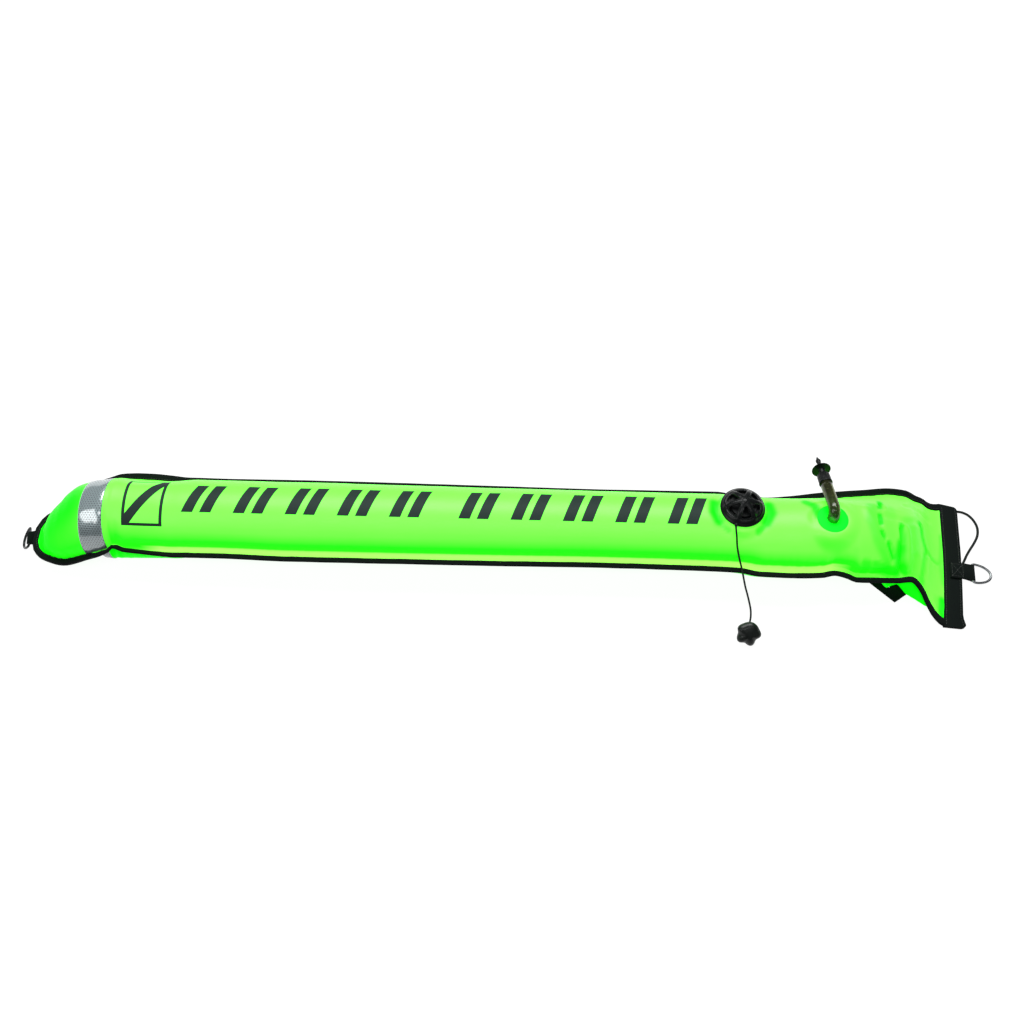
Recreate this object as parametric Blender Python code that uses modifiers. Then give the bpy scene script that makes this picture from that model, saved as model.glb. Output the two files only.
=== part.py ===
"""Surface marker buoy: an inflated cloth tube with a dump valve and an oral inflator.

Frame: +X runs from the closed top of the buoy to its mouth, +Y across it and +Z up.
The origin is on the floor, under the tube's axis. Lengths are in metres.
"""

import math

import bmesh
import bpy
from mathutils import Matrix, Vector

MM = 0.001

# Cloth and seams
CLOTH = 0.6 * MM
SEAM_GAP = 0.3 * MM
FIT_GAP = 0.3 * MM
FLANGE_WIDTH = 8.2 * MM
ARC_SEGMENTS = 12

# Black tape folded over the two panels' edges
BINDING_THICKNESS = 0.8 * MM
BINDING_WIDTH = 7.6 * MM
BINDING_FOLD = 1.2 * MM
BINDING_CORNER = 0.6 * MM
BINDING_GAP = 0.6 * MM

# Webbing hem at the mouth
HEM_WIDTH = 25.5 * MM
HEM_THICKNESS = 1.3 * MM
HEM_NEAR_END = (641.5 * MM, -110 * MM)
HEM_FAR_END = (661 * MM, 81.5 * MM)
HEM_NEAR_OVERHANG = 5 * MM
HEM_FAR_OVERHANG = 0.5 * MM
HEM_CORNER = 6 * MM
HEM_INNER_KEY = 625 * MM
HEM_OUTER_KEY = 650 * MM
HEM_EDGE_INSET = 0.8 * MM

# Self-sealing mouth inside the bag
DUCKBILL_THICKNESS = 0.4 * MM
DUCKBILL_START = 500 * MM
DUCKBILL_END = 590 * MM

# Reflective band
TAPE_START = -583 * MM
TAPE_WIDTH = 34 * MM
TAPE_THICKNESS = 0.4 * MM
TAPE_SETBACK = 0.4
TAPE_GAP = 0.55 * MM

# D-rings and their tabs
RING_WIRE = 3.5 * MM
RING_BAR = 25.6 * MM
RING_DEPTH = 20 * MM
BOTTOM_RING_DEPTH = 23 * MM
TAB_WIDTH = 24.6 * MM
TAB_THICKNESS = 1.4 * MM
BOTTOM_TAB_SEWN_LENGTH = 20 * MM
BOTTOM_TAB_REACH = 14 * MM
BOTTOM_TAB_OFFSET = -27 * MM
TOP_TAB_SEWN_LENGTH = 6 * MM
TOP_TAB_REACH = 6 * MM
TOP_TAB_OFFSET = -14 * MM
TOP_RING_DROOP = 50.4
TOP_RING_TURN = 10.0

# Stow strap under the near side of the mouth end
STRAP_WIDTH = 20 * MM
STRAP_THICKNESS = 1.5 * MM
STRAP_CORNER = (548 * MM, -76 * MM)
STRAP_LEFT_END = (491 * MM, -21.5 * MM)
STRAP_RIGHT_END = (527 * MM, -21.5 * MM)

# Dump valve
VALVE_X = 323.5 * MM
VALVE_Y = 11.5 * MM
VALVE_PLANE = 102.4 * MM
VALVE_RADIUS = 30.5 * MM
VALVE_THROAT = 15 * MM
VALVE_WALL = 3.5 * MM
VALVE_FLANGE_THICKNESS = 2.4 * MM
VALVE_DEPTH = 11 * MM
GASKET_THICKNESS = 1.2 * MM
BACKING_RADIUS = 22 * MM
BACKING_THICKNESS = 3 * MM
CAP_HEIGHT = 21.5 * MM
CAP_WALL = 2.2 * MM
CAP_SHOULDER_RADIUS = 24.5 * MM
CAP_SHOULDER_HEIGHT = 9.7 * MM
CAP_WINDOWS = 6
CAP_TURN = 5.0
CAP_RIB = 5 * MM
CAP_HUB_RADIUS = 5 * MM
POPPET_RADIUS = 18 * MM
POPPET_THICKNESS = 1.8 * MM
POPPET_STEM_RADIUS = 2 * MM
SEAL_THICKNESS = 1.2 * MM
SPIDER_HUB_RADIUS = 4.5 * MM
SPIDER_SPOKE = 2 * MM
SPIDER_SPOKES = 3
DUMP_SPRING_WIRE = 0.9 * MM
DUMP_SPRING_RADIUS = 4.6 * MM
DUMP_SPRING_TURNS = 3

# Pull cord and its five-lobed knob
CORD_RADIUS = 1.1 * MM
CORD_ROUTE = (
    (311.6, -18.6, 105.2), (311.8, -24.0, 105.0), (312.5, -29.6, 101.8), (313.6, -34.8, 95.8),
    (314.7, -39.6, 89.4), (316.6, -45.0, 82.6), (319.2, -49.6, 74.6), (322.0, -53.0, 66.4),
    (324.1, -56.2, 61.0), (325.2, -60.8, 59.0), (326.9, -65.8, 54.6), (329.5, -68.8, 46.0),
    (333.2, -75.2, 35.0), (338.0, -84.4, 24.0), (342.3, -97.4, 14.0), (342.8, -106.6, 9.2),
    (341.4, -114.2, 6.2), (338.4, -121.8, 4.3),
)
KNOB_APEX = (337 * MM, -124 * MM, 4.5 * MM)
KNOB_TILT = 45.0
KNOB_LOBES = 5
KNOB_PHASE = 71.0
KNOB_STEPS = 40
# Along the knob: distance from its apex, radius and how deep the lobes are, as a share
KNOB_PROFILE = (
    (0, 2.8, 0), (1.8, 5.0, 0.02), (4.5, 9.0, 0.06), (8, 12.9, 0.1), (11.5, 14.9, 0.12),
    (15.5, 15.1, 0.13), (19, 13.2, 0.13), (21.4, 10, 0.12), (22.8, 5.6, 0.08),
)

# Bungee loop at the mouth
BUNGEE_RADIUS = 1.5 * MM
BUNGEE_ROUTE = (
    (660.8, 73.0, 2.35), (664.0, 72.5, 2.35), (668.5, 71.6, 2.2), (676.3, 67.5, 1.6),
    (682.6, 58.6, 1.6), (685.6, 47.0, 1.6), (683.4, 34.0, 1.6), (676.4, 21.5, 1.6),
    (668.4, 10.5, 1.6), (661.6, 0.5, 1.9), (656.7, -8.0, 2.35), (652.6, -14.6, 2.35),
)

# Oral inflator
INFLATOR_X = 444 * MM
INFLATOR_Y = -3 * MM
INFLATOR_PLANE = 103.6 * MM
INFLATOR_FLANGE_RADIUS = 21 * MM
INFLATOR_FLANGE_THICKNESS = 1.2 * MM
INFLATOR_TUBE_RADIUS = 8 * MM
INFLATOR_TUBE_WALL = 2 * MM
INFLATOR_BEND_RADIUS = 10 * MM
INFLATOR_TUBE_RISE = 14 * MM
INFLATOR_TUBE_RUN = 43 * MM
INFLATOR_TURN = 3.5
INFLATOR_SLOPE = 15.0
HOUSING_PLUG_LENGTH = 10 * MM
HOUSING_HEAD_LENGTH = 18 * MM
HOUSING_BORE = 4.6 * MM
COLLAR_RADIUS = 9.2 * MM
COLLAR_WALL = 1.6 * MM
COLLAR_LENGTH = 16.5 * MM
STEM_RADIUS = 2.2 * MM
STEM_TRAVEL = 4 * MM
STEM_NECK_LENGTH = 9.5 * MM
LIP_RADIUS = 13 * MM
LIP_THICKNESS = 1.8 * MM
NIPPLE_LENGTH = 21.5 * MM
NIPPLE_RADIUS = 3.2 * MM
INFLATOR_SEAL_CLEARANCE = 0.8 * MM
INFLATOR_SEAL_RADIUS = INFLATOR_TUBE_RADIUS - INFLATOR_TUBE_WALL - INFLATOR_SEAL_CLEARANCE
INFLATOR_SPRING_WIRE = 0.6 * MM
INFLATOR_SPRING_TURNS = 7

TURN_STEPS = 32

# Stations along the bag. Each row holds, in millimetres: the key, the near and far edges' x,
# the near edge's y and z, the far edge's y and z, and how far the upper panel rises above the
# line between the seams and the lower one drops below it.
TOP_END = (
    (-672, -672, -672, -24, 20, -2, 20, 0, 0),
    (-668, -668, -668, -35, 19.8, 10, 20, 0, 0),
    (-663, -663, -663, -42, 19.5, 18, 19.8, 0.2, 0),
    (-654, -654, -654, -49, 19, 26.5, 19.2, 16, 1),
    (-641, -641, -641, -53.8, 18, 36, 18.8, 38, 11),
    (-629, -629, -629, -57, 18, 46, 21, 48, 14),
    (-617, -617, -617, -58.3, 20, 56, 28, 54, 20),
    (-601, -601, -601, -57.8, 26, 61, 40, 56, 30),
    (-583, -583, -583, -58.2, 37, 62, 49, 55, 40.8),
    (-566, -566, -566, -58.6, 46, 63.5, 56, 52, 48.8),
    (-549, -549, -549, -56.6, 55.5, 66, 61.5, 49, 56),
    (-541, -541, -541, -49, 58, 67.5, 64, 48, 57.5),
    (-526, -526, -526, -52.3, 57, 68, 64.5, 48.5, 57.8),
    (-505, -505, -505, -51.5, 54.5, 67.5, 61, 50, 56.5),
    (-480, -480, -480, -54.8, 53.5, 67, 57, 51, 56),
)
# The straight tube: x, the near edge's y and the far edge's y
STRAIGHT = (
    (-455, -59.2, 67.3), (-400, -59.0, 66.6), (-300, -61.2, 67.2), (-30, -60.2, 65.4),
    (137, -58.8, 63.8), (262, -59.6, 64.4), (322, -61.3, 64.8), (352, -66.3, 64.8),
    (400, -67.3, 64.6),
)
STRAIGHT_SEAM_HEIGHT = 53.5
STRAIGHT_RISE = 51.5
STRAIGHT_DROP = 55.7
MOUTH_END = (
    (436, 436, 436, -64.8, 51.5, 67, 53.5, 51.7, 54.5),
    (455, 455, 455, -60.2, 50, 68, 53.5, 51.7, 53.3),
    (470, 470, 470, -62.3, 47, 69.5, 53.5, 51.5, 51.2),
    (484, 484, 484, -66.6, 44, 71, 53.5, 51, 49.4),
    (512, 512, 512, -64.4, 39.5, 74, 53, 48, 45.5),
    (545, 545, 545, -62, 35.5, 79, 50.5, 39, 40),
    (568, 564, 573, -58.5, 34, 80.8, 43, 29, 33),
    (585, 578, 592, -69, 26, 81.5, 28, 19, 22),
    (597, 588, 606, -85, 15, 82.5, 18, 11, 11),
    (605.5, 597, 614, -98, 8, 82.0, 10.5, 6, 5),
    (615, 607, 623, -105.8, 4, 81.6, 5.5, 2, 1.5),
)
# How far the sewn edges tilt up, in degrees, by the station's key in millimetres
NEAR_TILT = ((-600, 0), (-540, 5), (560, 5), (590, 0))
FAR_TILT = ((-580, 0), (-530, 28), (-480, 14), (-400, 8), (400, 8), (480, 28), (570, 28), (597, 0))


def pchip(table, key):
    """Read a table of rows at a key, smoothly and without overshoot."""
    keys = [row[0] for row in table]
    if key <= keys[0]:
        return table[0]
    if key >= keys[-1]:
        return table[-1]
    i = max(n for n in range(len(keys) - 1) if keys[n] <= key)
    span = keys[i + 1] - keys[i]
    t = (key - keys[i]) / span

    def slope(n, column):
        if n == 0 or n == len(keys) - 1:
            return 0.0
        before = (table[n][column] - table[n - 1][column]) / (keys[n] - keys[n - 1])
        after = (table[n + 1][column] - table[n][column]) / (keys[n + 1] - keys[n])
        return 2 * before * after / (before + after) if before * after > 0 else 0.0

    values = []
    for column in range(len(table[0])):
        a, b = table[i][column], table[i + 1][column]
        da, db = slope(i, column) * span, slope(i + 1, column) * span
        values.append(a + t * da + t * t * (3 * (b - a) - 2 * da - db)
                      + t ** 3 * (2 * (a - b) + da + db))
    return values


def hem_line(offset):
    """Ends of the line that lies this far inside the hem's outer edge, near end first."""
    return (Vector((*HEM_NEAR_END, 0)) - HEM_ACROSS * offset,
            Vector((*HEM_FAR_END, 0)) - HEM_ACROSS * offset)


HEM_ALONG = (Vector((*HEM_FAR_END, 0)) - Vector((*HEM_NEAR_END, 0))).normalized()
HEM_ACROSS = Vector((HEM_ALONG.y, -HEM_ALONG.x, 0))
HEM_STACK = 2 * (HEM_THICKNESS + FIT_GAP + CLOTH) + SEAM_GAP
HEM_MIDDLE = HEM_STACK / 2


def station_table():
    """All rows in metres: the top end, the straight tube, the mouth end and the hem."""
    rows = list(TOP_END)
    for x, near_edge, far_edge in STRAIGHT:
        rows.append((x, x, x, near_edge, STRAIGHT_SEAM_HEIGHT, far_edge,
                     STRAIGHT_SEAM_HEIGHT, STRAIGHT_RISE, STRAIGHT_DROP))
    rows = [tuple(value * MM for value in row) for row in (*rows, *MOUTH_END)]
    for key, offset in ((HEM_INNER_KEY, HEM_WIDTH), (HEM_OUTER_KEY, HEM_EDGE_INSET)):
        near, far = hem_line(offset)
        rows.append((key, near.x, far.x, near.y, HEM_MIDDLE, far.y, HEM_MIDDLE, 0.0, 0.0))
    return rows


STATIONS = station_table()
PATCHES = (
    (VALVE_X, VALVE_Y - 3 * MM, VALVE_PLANE, 35 * MM, 43 * MM),
    (INFLATOR_X, INFLATOR_Y, INFLATOR_PLANE, 22 * MM, 36 * MM),
)


# Rows of points that the panels have besides their stations, in millimetres
EXTRA_KEYS = (-165, 50, 557, 577, 591)
VALVE_KEYS = (-43, -33.5, -22, -11, 0, 11, 22, 33.5, 43)
INFLATOR_KEYS = (-34, -22, -9, 9, 22)


def bag_keys():
    """Where the panels have a row of points: every station, and more round the fittings."""
    keys = [row[0] for row in STATIONS]
    keys += [TAPE_START, TAPE_START + TAPE_WIDTH / 2, TAPE_START + TAPE_WIDTH]
    keys += [key * MM for key in EXTRA_KEYS]
    keys += [VALVE_X + step * MM for step in VALVE_KEYS]
    keys += [INFLATOR_X + step * MM for step in INFLATOR_KEYS]
    result = []
    for key in sorted(keys):
        if not result or key - result[-1] > 5 * MM:
            result.append(key)
    result[-1] = STATIONS[-1][0]
    return result


def flatten(point, lift):
    """Lower or raise a point of the upper panel onto the flat seats of the two fittings."""
    for x, y, plane, inner, outer in PATCHES:
        distance = math.hypot(point.x - x, point.y - y)
        t = min(max((outer - distance) / (outer - inner), 0.0), 1.0)
        share = t * t * (3 - 2 * t)
        point.z += share * (plane + lift - point.z)
    return point


def edge_tilt(table, key):
    """How far a sewn edge tilts up at a key, in radians."""
    return math.radians(pchip(table, key / MM)[1])


def flange_insets(key, width):
    """Distances from the two edges to their seams across the bag, longer where an edge slants."""
    before, after = pchip(STATIONS, key - 3 * MM), pchip(STATIONS, key + 3 * MM)
    insets = []
    for x, y in ((1, 3), (2, 5)):
        run = max(abs(after[x] - before[x]), 1 * MM)
        slant = min(math.hypot(1.0, (after[y] - before[y]) / run), 2.2)
        insets.append(min(FLANGE_WIDTH * slant, 0.34 * width))
    return insets


def bag_edges(key):
    """The bag's near and far outer edges at a key, and the seams inside them."""
    row = pchip(STATIONS, key)
    near = Vector((row[1], row[3], row[4]))
    far = Vector((row[2], row[5], row[6]))
    across = (far - near).normalized()
    rise = (Vector((0, 0, 1)) - across * across.z).normalized()
    near_tilt, far_tilt = edge_tilt(NEAR_TILT, key), edge_tilt(FAR_TILT, key)
    near_inset, far_inset = flange_insets(key, (far - near).length)
    seam_near = near + near_inset * (across * math.cos(near_tilt) - rise * math.sin(near_tilt))
    seam_far = far - far_inset * (across * math.cos(far_tilt) + rise * math.sin(far_tilt))
    return near, far, seam_near, seam_far


def bag_section(key, upper, lift=0.0, start=0.0, end=1.0, sag=1.0, flange=True):
    """Points across the bag on one panel's inner face, moved outward by lift."""
    row = pchip(STATIONS, key)
    near, far, seam_near, seam_far = bag_edges(key)
    side = 1 if upper else -1
    level = Vector((0, 0, side * (SEAM_GAP / 2 + lift)))
    across = (seam_far - seam_near).normalized()
    up = (Vector((0, 0, 1)) - across * across.z).normalized() * side
    half = (seam_far - seam_near).length / 2
    bulge = max((row[7] if upper else row[8]) * sag, 0.0)
    middle = (seam_near + seam_far) / 2 + Vector((0, 0, side * SEAM_GAP / 2))
    points = []
    for i in range(ARC_SEGMENTS + 1):
        share = start + (end - start) * i / ARC_SEGMENTS
        if bulge < 0.05 * MM:
            point = middle + across * half * (2 * share - 1) + up * lift
        else:
            radius = (half * half + bulge * bulge) / (2 * bulge)
            angle = (2 * share - 1) * 2 * math.atan(bulge / half)
            centre = middle + up * (bulge - radius)
            reach = radius + lift
            point = centre + up * reach * math.cos(angle) + across * reach * math.sin(angle)
        if upper:
            point = flatten(point, lift)
        else:
            point.z = max(point.z, CLOTH - lift)
        points.append(point)
    if flange:
        points = [near + level] + points + [far + level]
    return points


# Making and placing objects

PART = bpy.data.collections.new("surface_marker_buoy")
CUTTERS = bpy.data.collections.new("cutters")


def clear_scene():
    for item in list(bpy.data.objects):
        bpy.data.objects.remove(item, do_unlink=True)
    for collection in (PART, CUTTERS):
        bpy.context.scene.collection.children.link(collection)


def material(name, colour, roughness, metallic=0.0):
    """A Principled material, made once and then found by its name."""
    found = bpy.data.materials.get(name)
    if found:
        return found
    made = bpy.data.materials.new(name)
    made.use_nodes = True
    shader = made.node_tree.nodes["Principled BSDF"]
    shader.inputs["Base Color"].default_value = (*colour, 1.0)
    shader.inputs["Roughness"].default_value = roughness
    shader.inputs["Metallic"].default_value = metallic
    return made


def green_cloth():
    return material("fluorescent_cloth", (0.10, 0.95, 0.04), 0.45)


def black_tape():
    return material("black_tape", (0.012, 0.014, 0.014), 0.8)


def black_plastic():
    return material("black_plastic", (0.01, 0.011, 0.011), 0.25)


def black_rubber():
    return material("black_rubber", (0.02, 0.02, 0.02), 0.7)


def silver_tape():
    return material("silver_tape", (0.36, 0.40, 0.42), 0.35, 0.3)


def steel():
    return material("stainless_steel", (0.62, 0.63, 0.64), 0.2, 1.0)


def smoky_plastic():
    return material("smoky_plastic", (0.10, 0.11, 0.07), 0.15)


def add_object(name, data, surface, collection=PART):
    made = bpy.data.objects.new(name, data)
    made.data.materials.append(surface)
    collection.objects.link(made)
    return made


def mesh_from(name, points, faces):
    mesh = bpy.data.meshes.new(name)
    mesh.from_pydata([tuple(point) for point in points], [], faces)
    mesh.update()
    return mesh


def sheet(name, rows, surface, thickness, flip=False):
    """A cloth sheet: a grid through rows of points, thickened away from the reference side."""
    width = len(rows[0])
    points = [point for row in rows for point in row]
    faces = []
    for i in range(len(rows) - 1):
        for j in range(width - 1):
            a, b = i * width + j, (i + 1) * width + j
            for face in ((a, b, b + 1), (a, b + 1, a + 1)):
                faces.append(face[::-1] if flip else face)
    made = add_object(name, mesh_from(name, points, faces), surface)
    solid = made.modifiers.new("thickness", "SOLIDIFY")
    solid.thickness = thickness
    solid.offset = 1.0
    return made


def sweep(name, sections, surface):
    """A solid through closed sections of equal count, with its two ends closed."""
    count = len(sections[0])
    points = [point for section in sections for point in section]
    faces = []
    for i in range(len(sections) - 1):
        for j in range(count):
            k = (j + 1) % count
            faces.append((i * count + j, i * count + k, (i + 1) * count + k, (i + 1) * count + j))
    faces.append(tuple(reversed(range(count))))
    faces.append(tuple(range(len(points) - count, len(points))))
    return add_object(name, mesh_from(name, points, faces), surface)


def turned(name, profile, surface, closed=True, steps=TURN_STEPS, collection=PART):
    """A turned piece: a profile of (radius, height), down its outer side, round its own Z."""
    edges = [(i, i + 1) for i in range(len(profile) - 1)]
    if closed:
        edges.append((len(profile) - 1, 0))
    mesh = bpy.data.meshes.new(name)
    mesh.from_pydata([(radius, 0.0, height) for radius, height in profile], edges, [])
    made = add_object(name, mesh, surface, collection)
    screw = made.modifiers.new("turn", "SCREW")
    screw.steps = steps
    screw.render_steps = steps
    screw.use_merge_vertices = True
    screw.merge_threshold = 0.01 * MM
    return made


def cut(target, cutter, operation="DIFFERENCE"):
    """Cut a piece with a hidden cutter, or join another body to it."""
    cutter.hide_render = True
    cutter.display_type = "WIRE"
    step = target.modifiers.new(cutter.name, "BOOLEAN")
    step.operation = operation
    step.object = cutter


def cylinder_cutter(name, centre, radius, depth, vertices=TURN_STEPS):
    bpy.ops.mesh.primitive_cylinder_add(
        vertices=vertices, radius=radius, depth=depth, location=centre)
    made = bpy.context.object
    made.name = name
    for collection in list(made.users_collection):
        collection.objects.unlink(made)
    CUTTERS.objects.link(made)
    return made


def box_cutter(name, size, matrix):
    bpy.ops.mesh.primitive_cube_add(size=1.0)
    made = bpy.context.object
    made.name = name
    made.data.transform(Matrix.Diagonal((*size, 1.0)))
    made.matrix_world = matrix
    for collection in list(made.users_collection):
        collection.objects.unlink(made)
    CUTTERS.objects.link(made)
    return made


def tube_curve(name, points, radius, surface, sides=2, closed=False, caps=True):
    """A round tube along points, as a curve with a bevel."""
    curve = bpy.data.curves.new(name, "CURVE")
    curve.dimensions = "3D"
    curve.bevel_depth = radius
    curve.bevel_resolution = sides
    curve.use_fill_caps = caps
    spline = curve.splines.new("POLY")
    spline.points.add(len(points) - 1)
    for spot, point in zip(spline.points, points):
        spot.co = (*point, 1.0)
    spline.use_cyclic_u = closed
    return add_object(name, curve, surface)


def curve_to_mesh(source):
    """Turn a curve object into a welded mesh object of the same name."""
    graph = bpy.context.evaluated_depsgraph_get()
    mesh = bpy.data.meshes.new_from_object(source.evaluated_get(graph))
    work = bmesh.new()
    work.from_mesh(mesh)
    bmesh.ops.remove_doubles(work, verts=work.verts, dist=0.01 * MM)
    work.to_mesh(mesh)
    work.free()
    name, place, surface = source.name, source.matrix_world.copy(), source.data.materials[0]
    bpy.data.objects.remove(source, do_unlink=True)
    made = add_object(name, mesh, surface)
    made.matrix_world = place
    return made


def plate(name, outline, thickness, surface, matrix, holes=()):
    """A flat plate from outlines in its own XY plane, centred on that plane."""
    curve = bpy.data.curves.new(name, "CURVE")
    curve.dimensions = "2D"
    curve.fill_mode = "BOTH"
    curve.extrude = thickness / 2
    for loop in (outline, *holes):
        spline = curve.splines.new("POLY")
        spline.points.add(len(loop) - 1)
        for spot, (x, y) in zip(spline.points, loop):
            spot.co = (x, y, 0.0, 1.0)
        spline.use_cyclic_u = True
    made = add_object(name, curve, surface)
    made.matrix_world = matrix
    bpy.context.view_layer.update()
    return curve_to_mesh(made)


def axes_matrix(origin, x_axis, y_axis):
    """A placement from an origin and two directions, the third following from them."""
    z_axis = x_axis.cross(y_axis)
    matrix = Matrix((x_axis, y_axis, z_axis)).transposed().to_4x4()
    matrix.translation = origin
    return matrix


def along_axis(origin, direction):
    """A placement whose Z runs along a direction."""
    matrix = direction.to_track_quat("Z", "Y").to_matrix().to_4x4()
    matrix.translation = origin
    return matrix


def smooth_route(route, spacing):
    """Evenly spaced points on a smooth curve through a route's own points."""
    spots = [Vector(point) * MM for point in route]
    ends = [spots[0] * 2 - spots[1]] + spots + [spots[-1] * 2 - spots[-2]]
    dense = []
    for a, b, c, d in zip(ends, ends[1:], ends[2:], ends[3:]):
        for step in range(20):
            t = step / 20
            dense.append(0.5 * (2 * b + (c - a) * t + (2 * a - 5 * b + 4 * c - d) * t * t
                                + (3 * b - a - 3 * c + d) * t ** 3))
    dense.append(spots[-1])
    total = sum((b - a).length for a, b in zip(dense, dense[1:]))
    count = max(round(total / spacing), 4)
    result, travelled, target = [dense[0]], 0.0, total / count
    for a, b in zip(dense, dense[1:]):
        length = (b - a).length
        while travelled + length >= target and len(result) < count:
            result.append(a.lerp(b, (target - travelled) / length))
            target += total / count
        travelled += length
    result.append(dense[-1])
    return result, total


# The bag

def bag_panels():
    for name, upper in (("front_panel", True), ("back_panel", False)):
        rows = [bag_section(key, upper) for key in bag_keys()]
        panel = sheet(name, rows, green_cloth(), CLOTH, flip=not upper)
        if upper:
            hole = VALVE_THROAT + VALVE_WALL + FIT_GAP
            cut(panel, cylinder_cutter(
                "valve_hole", (VALVE_X, VALVE_Y, VALVE_PLANE), hole, 8 * MM))
            hole = INFLATOR_TUBE_RADIUS + FIT_GAP
            cut(panel, cylinder_cutter(
                "inflator_hole", (INFLATOR_X, INFLATOR_Y, INFLATOR_PLANE), hole, 8 * MM))


def edge_path():
    """The bag's outer edge from the hem's near end round the top to the hem's far end.

    Each point comes with a direction from it towards the seam.
    """
    keys = [key for key in bag_keys() if key < STATIONS[-2][0] - 1 * MM]
    near_side, far_side = [], []
    for key in keys:
        near, far, seam_near, seam_far = bag_edges(key)
        near_side.append((near, seam_near - near))
        far_side.append((far, seam_far - far))
    near_hem, far_hem = hem_line(HEM_WIDTH + FIT_GAP)
    setback = HEM_ACROSS * 2.4 * MM
    rise = Vector((0, 0, HEM_MIDDLE))
    near_side.append((near_hem - setback + rise + Vector((0, 0, 0.1 * near.z)), HEM_ALONG))
    far_side.append((far_hem - setback + rise + Vector((0, 0, 0.1 * far.z)), -HEM_ALONG))
    return list(reversed(near_side)) + far_side


def edge_binding():
    """Black tape folded over the joined edges, as a channel swept round the bag."""
    path = edge_path()
    inner = SEAM_GAP / 2 + CLOTH + BINDING_GAP
    outer = inner + BINDING_THICKNESS
    lip = BINDING_FOLD - BINDING_WIDTH
    shape = ((0.0, outer), (BINDING_CORNER, outer), (BINDING_FOLD, inner), (BINDING_FOLD, -inner),
             (BINDING_CORNER, -outer), (0.0, -outer), (lip, -outer), (lip, -inner),
             (FIT_GAP, -inner), (FIT_GAP, inner), (lip, inner), (lip, outer))
    sections = []
    for i, (point, inward) in enumerate(path):
        before, after = path[max(i - 1, 0)][0], path[min(i + 1, len(path) - 1)][0]
        along = (after - before).normalized()
        if abs(along.dot(inward.normalized())) > 0.8:
            inward = Vector((1, 0, 0))
        outward = (along * inward.dot(along) - inward).normalized()
        normal = along.cross(outward)
        sections.append([point + outward * reach + normal * height
                         for reach, height in reversed(shape)])
    return sweep("edge_binding", sections, black_tape())


def mouth_hem():
    """Two webbing bands across the mouth, one on the front panel and one on the back."""
    near, far = hem_line(HEM_WIDTH / 2)
    half = (far - near).length / 2
    inner, outer = -HEM_WIDTH / 2, HEM_WIDTH / 2 - HEM_CORNER
    low, high = -half - HEM_NEAR_OVERHANG, half + HEM_FAR_OVERHANG
    outline = [(inner, low)]
    for y, start in ((low + HEM_CORNER, -90), (high - HEM_CORNER, 0)):
        for step in range(4):
            angle = math.radians(start + 30 * step)
            outline.append((outer + HEM_CORNER * math.cos(angle),
                            y + HEM_CORNER * math.sin(angle)))
    outline.append((inner, high))
    for name, height in (("hem_lower", HEM_THICKNESS / 2),
                         ("hem_upper", HEM_STACK - HEM_THICKNESS / 2)):
        centre = (near + far) / 2 + Vector((0, 0, height))
        plate(name, outline, HEM_THICKNESS, black_tape(),
              axes_matrix(centre, HEM_ACROSS, HEM_ALONG))


def duckbill():
    """The two inner sheets that close the mouth: wide at the hem and pressed flat inside."""
    steps = 7
    for name, upper in (("duckbill_upper", True), ("duckbill_lower", False)):
        rows = []
        for i in range(steps):
            share = i / (steps - 1)
            key = DUCKBILL_START + (DUCKBILL_END - DUCKBILL_START) * share
            inset = 0.1 - 0.05 * share
            rows.append(bag_section(key, upper, 0.0, inset, 1 - inset, 0.06 + 0.6 * share ** 2,
                                    flange=False))
        sheet(name, rows, green_cloth(), DUCKBILL_THICKNESS, flip=not upper)


def reflective_band():
    """Silver tape round the bag near its top, one piece on each panel."""
    keys = [TAPE_START, TAPE_START + TAPE_WIDTH / 2, TAPE_START + TAPE_WIDTH]
    for name, upper in (("reflective_band_front", True), ("reflective_band_back", False)):
        rows = []
        for key in keys:
            points = bag_section(key, upper, CLOTH + TAPE_GAP, flange=False)
            points[0] = points[0].lerp(points[1], TAPE_SETBACK)
            points[-1] = points[-1].lerp(points[-2], TAPE_SETBACK)
            rows.append(points)
        sheet(name, rows, silver_tape(), TAPE_THICKNESS, flip=not upper)


def stow_strap():
    """A webbing strap folded to a V, flat on the floor, sewn under the back panel."""
    corner = Vector((*STRAP_CORNER, 0))
    left = Vector((*STRAP_LEFT_END, 0))
    right = Vector((*STRAP_RIGHT_END, 0))
    side = Vector((STRAP_WIDTH, 0, 0))
    tip = corner + Vector((STRAP_WIDTH * 0.9, STRAP_WIDTH * 0.62, 0))
    notch = corner + Vector((-4 * MM, STRAP_WIDTH * 1.15, 0))
    outline = [left, corner, tip, right + side * 0.75, right, notch, left + side]
    place = Matrix.Translation((0, 0, STRAP_THICKNESS / 2))
    plate("stow_strap", [(point.x, point.y) for point in outline], STRAP_THICKNESS,
          black_tape(), place)


# D-rings and tabs

def ring_points(depth):
    """A D in its own XY plane: the bar along Y through the origin, the bow towards +X."""
    half = RING_BAR / 2 + RING_WIRE / 2
    corner = 3 * MM
    reach = depth + RING_WIRE
    points = [Vector((0, -half + corner, 0)), Vector((0, half - corner, 0))]
    points.append(Vector((0.3 * corner, half - 0.3 * corner, 0)))
    for step in range(15):
        angle = math.radians(90 - 180 * step / 14)
        points.append(Vector((corner + (reach - corner) * math.cos(angle),
                              half * math.sin(angle), 0)))
    points.append(Vector((0.3 * corner, -half + 0.3 * corner, 0)))
    return points


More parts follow.
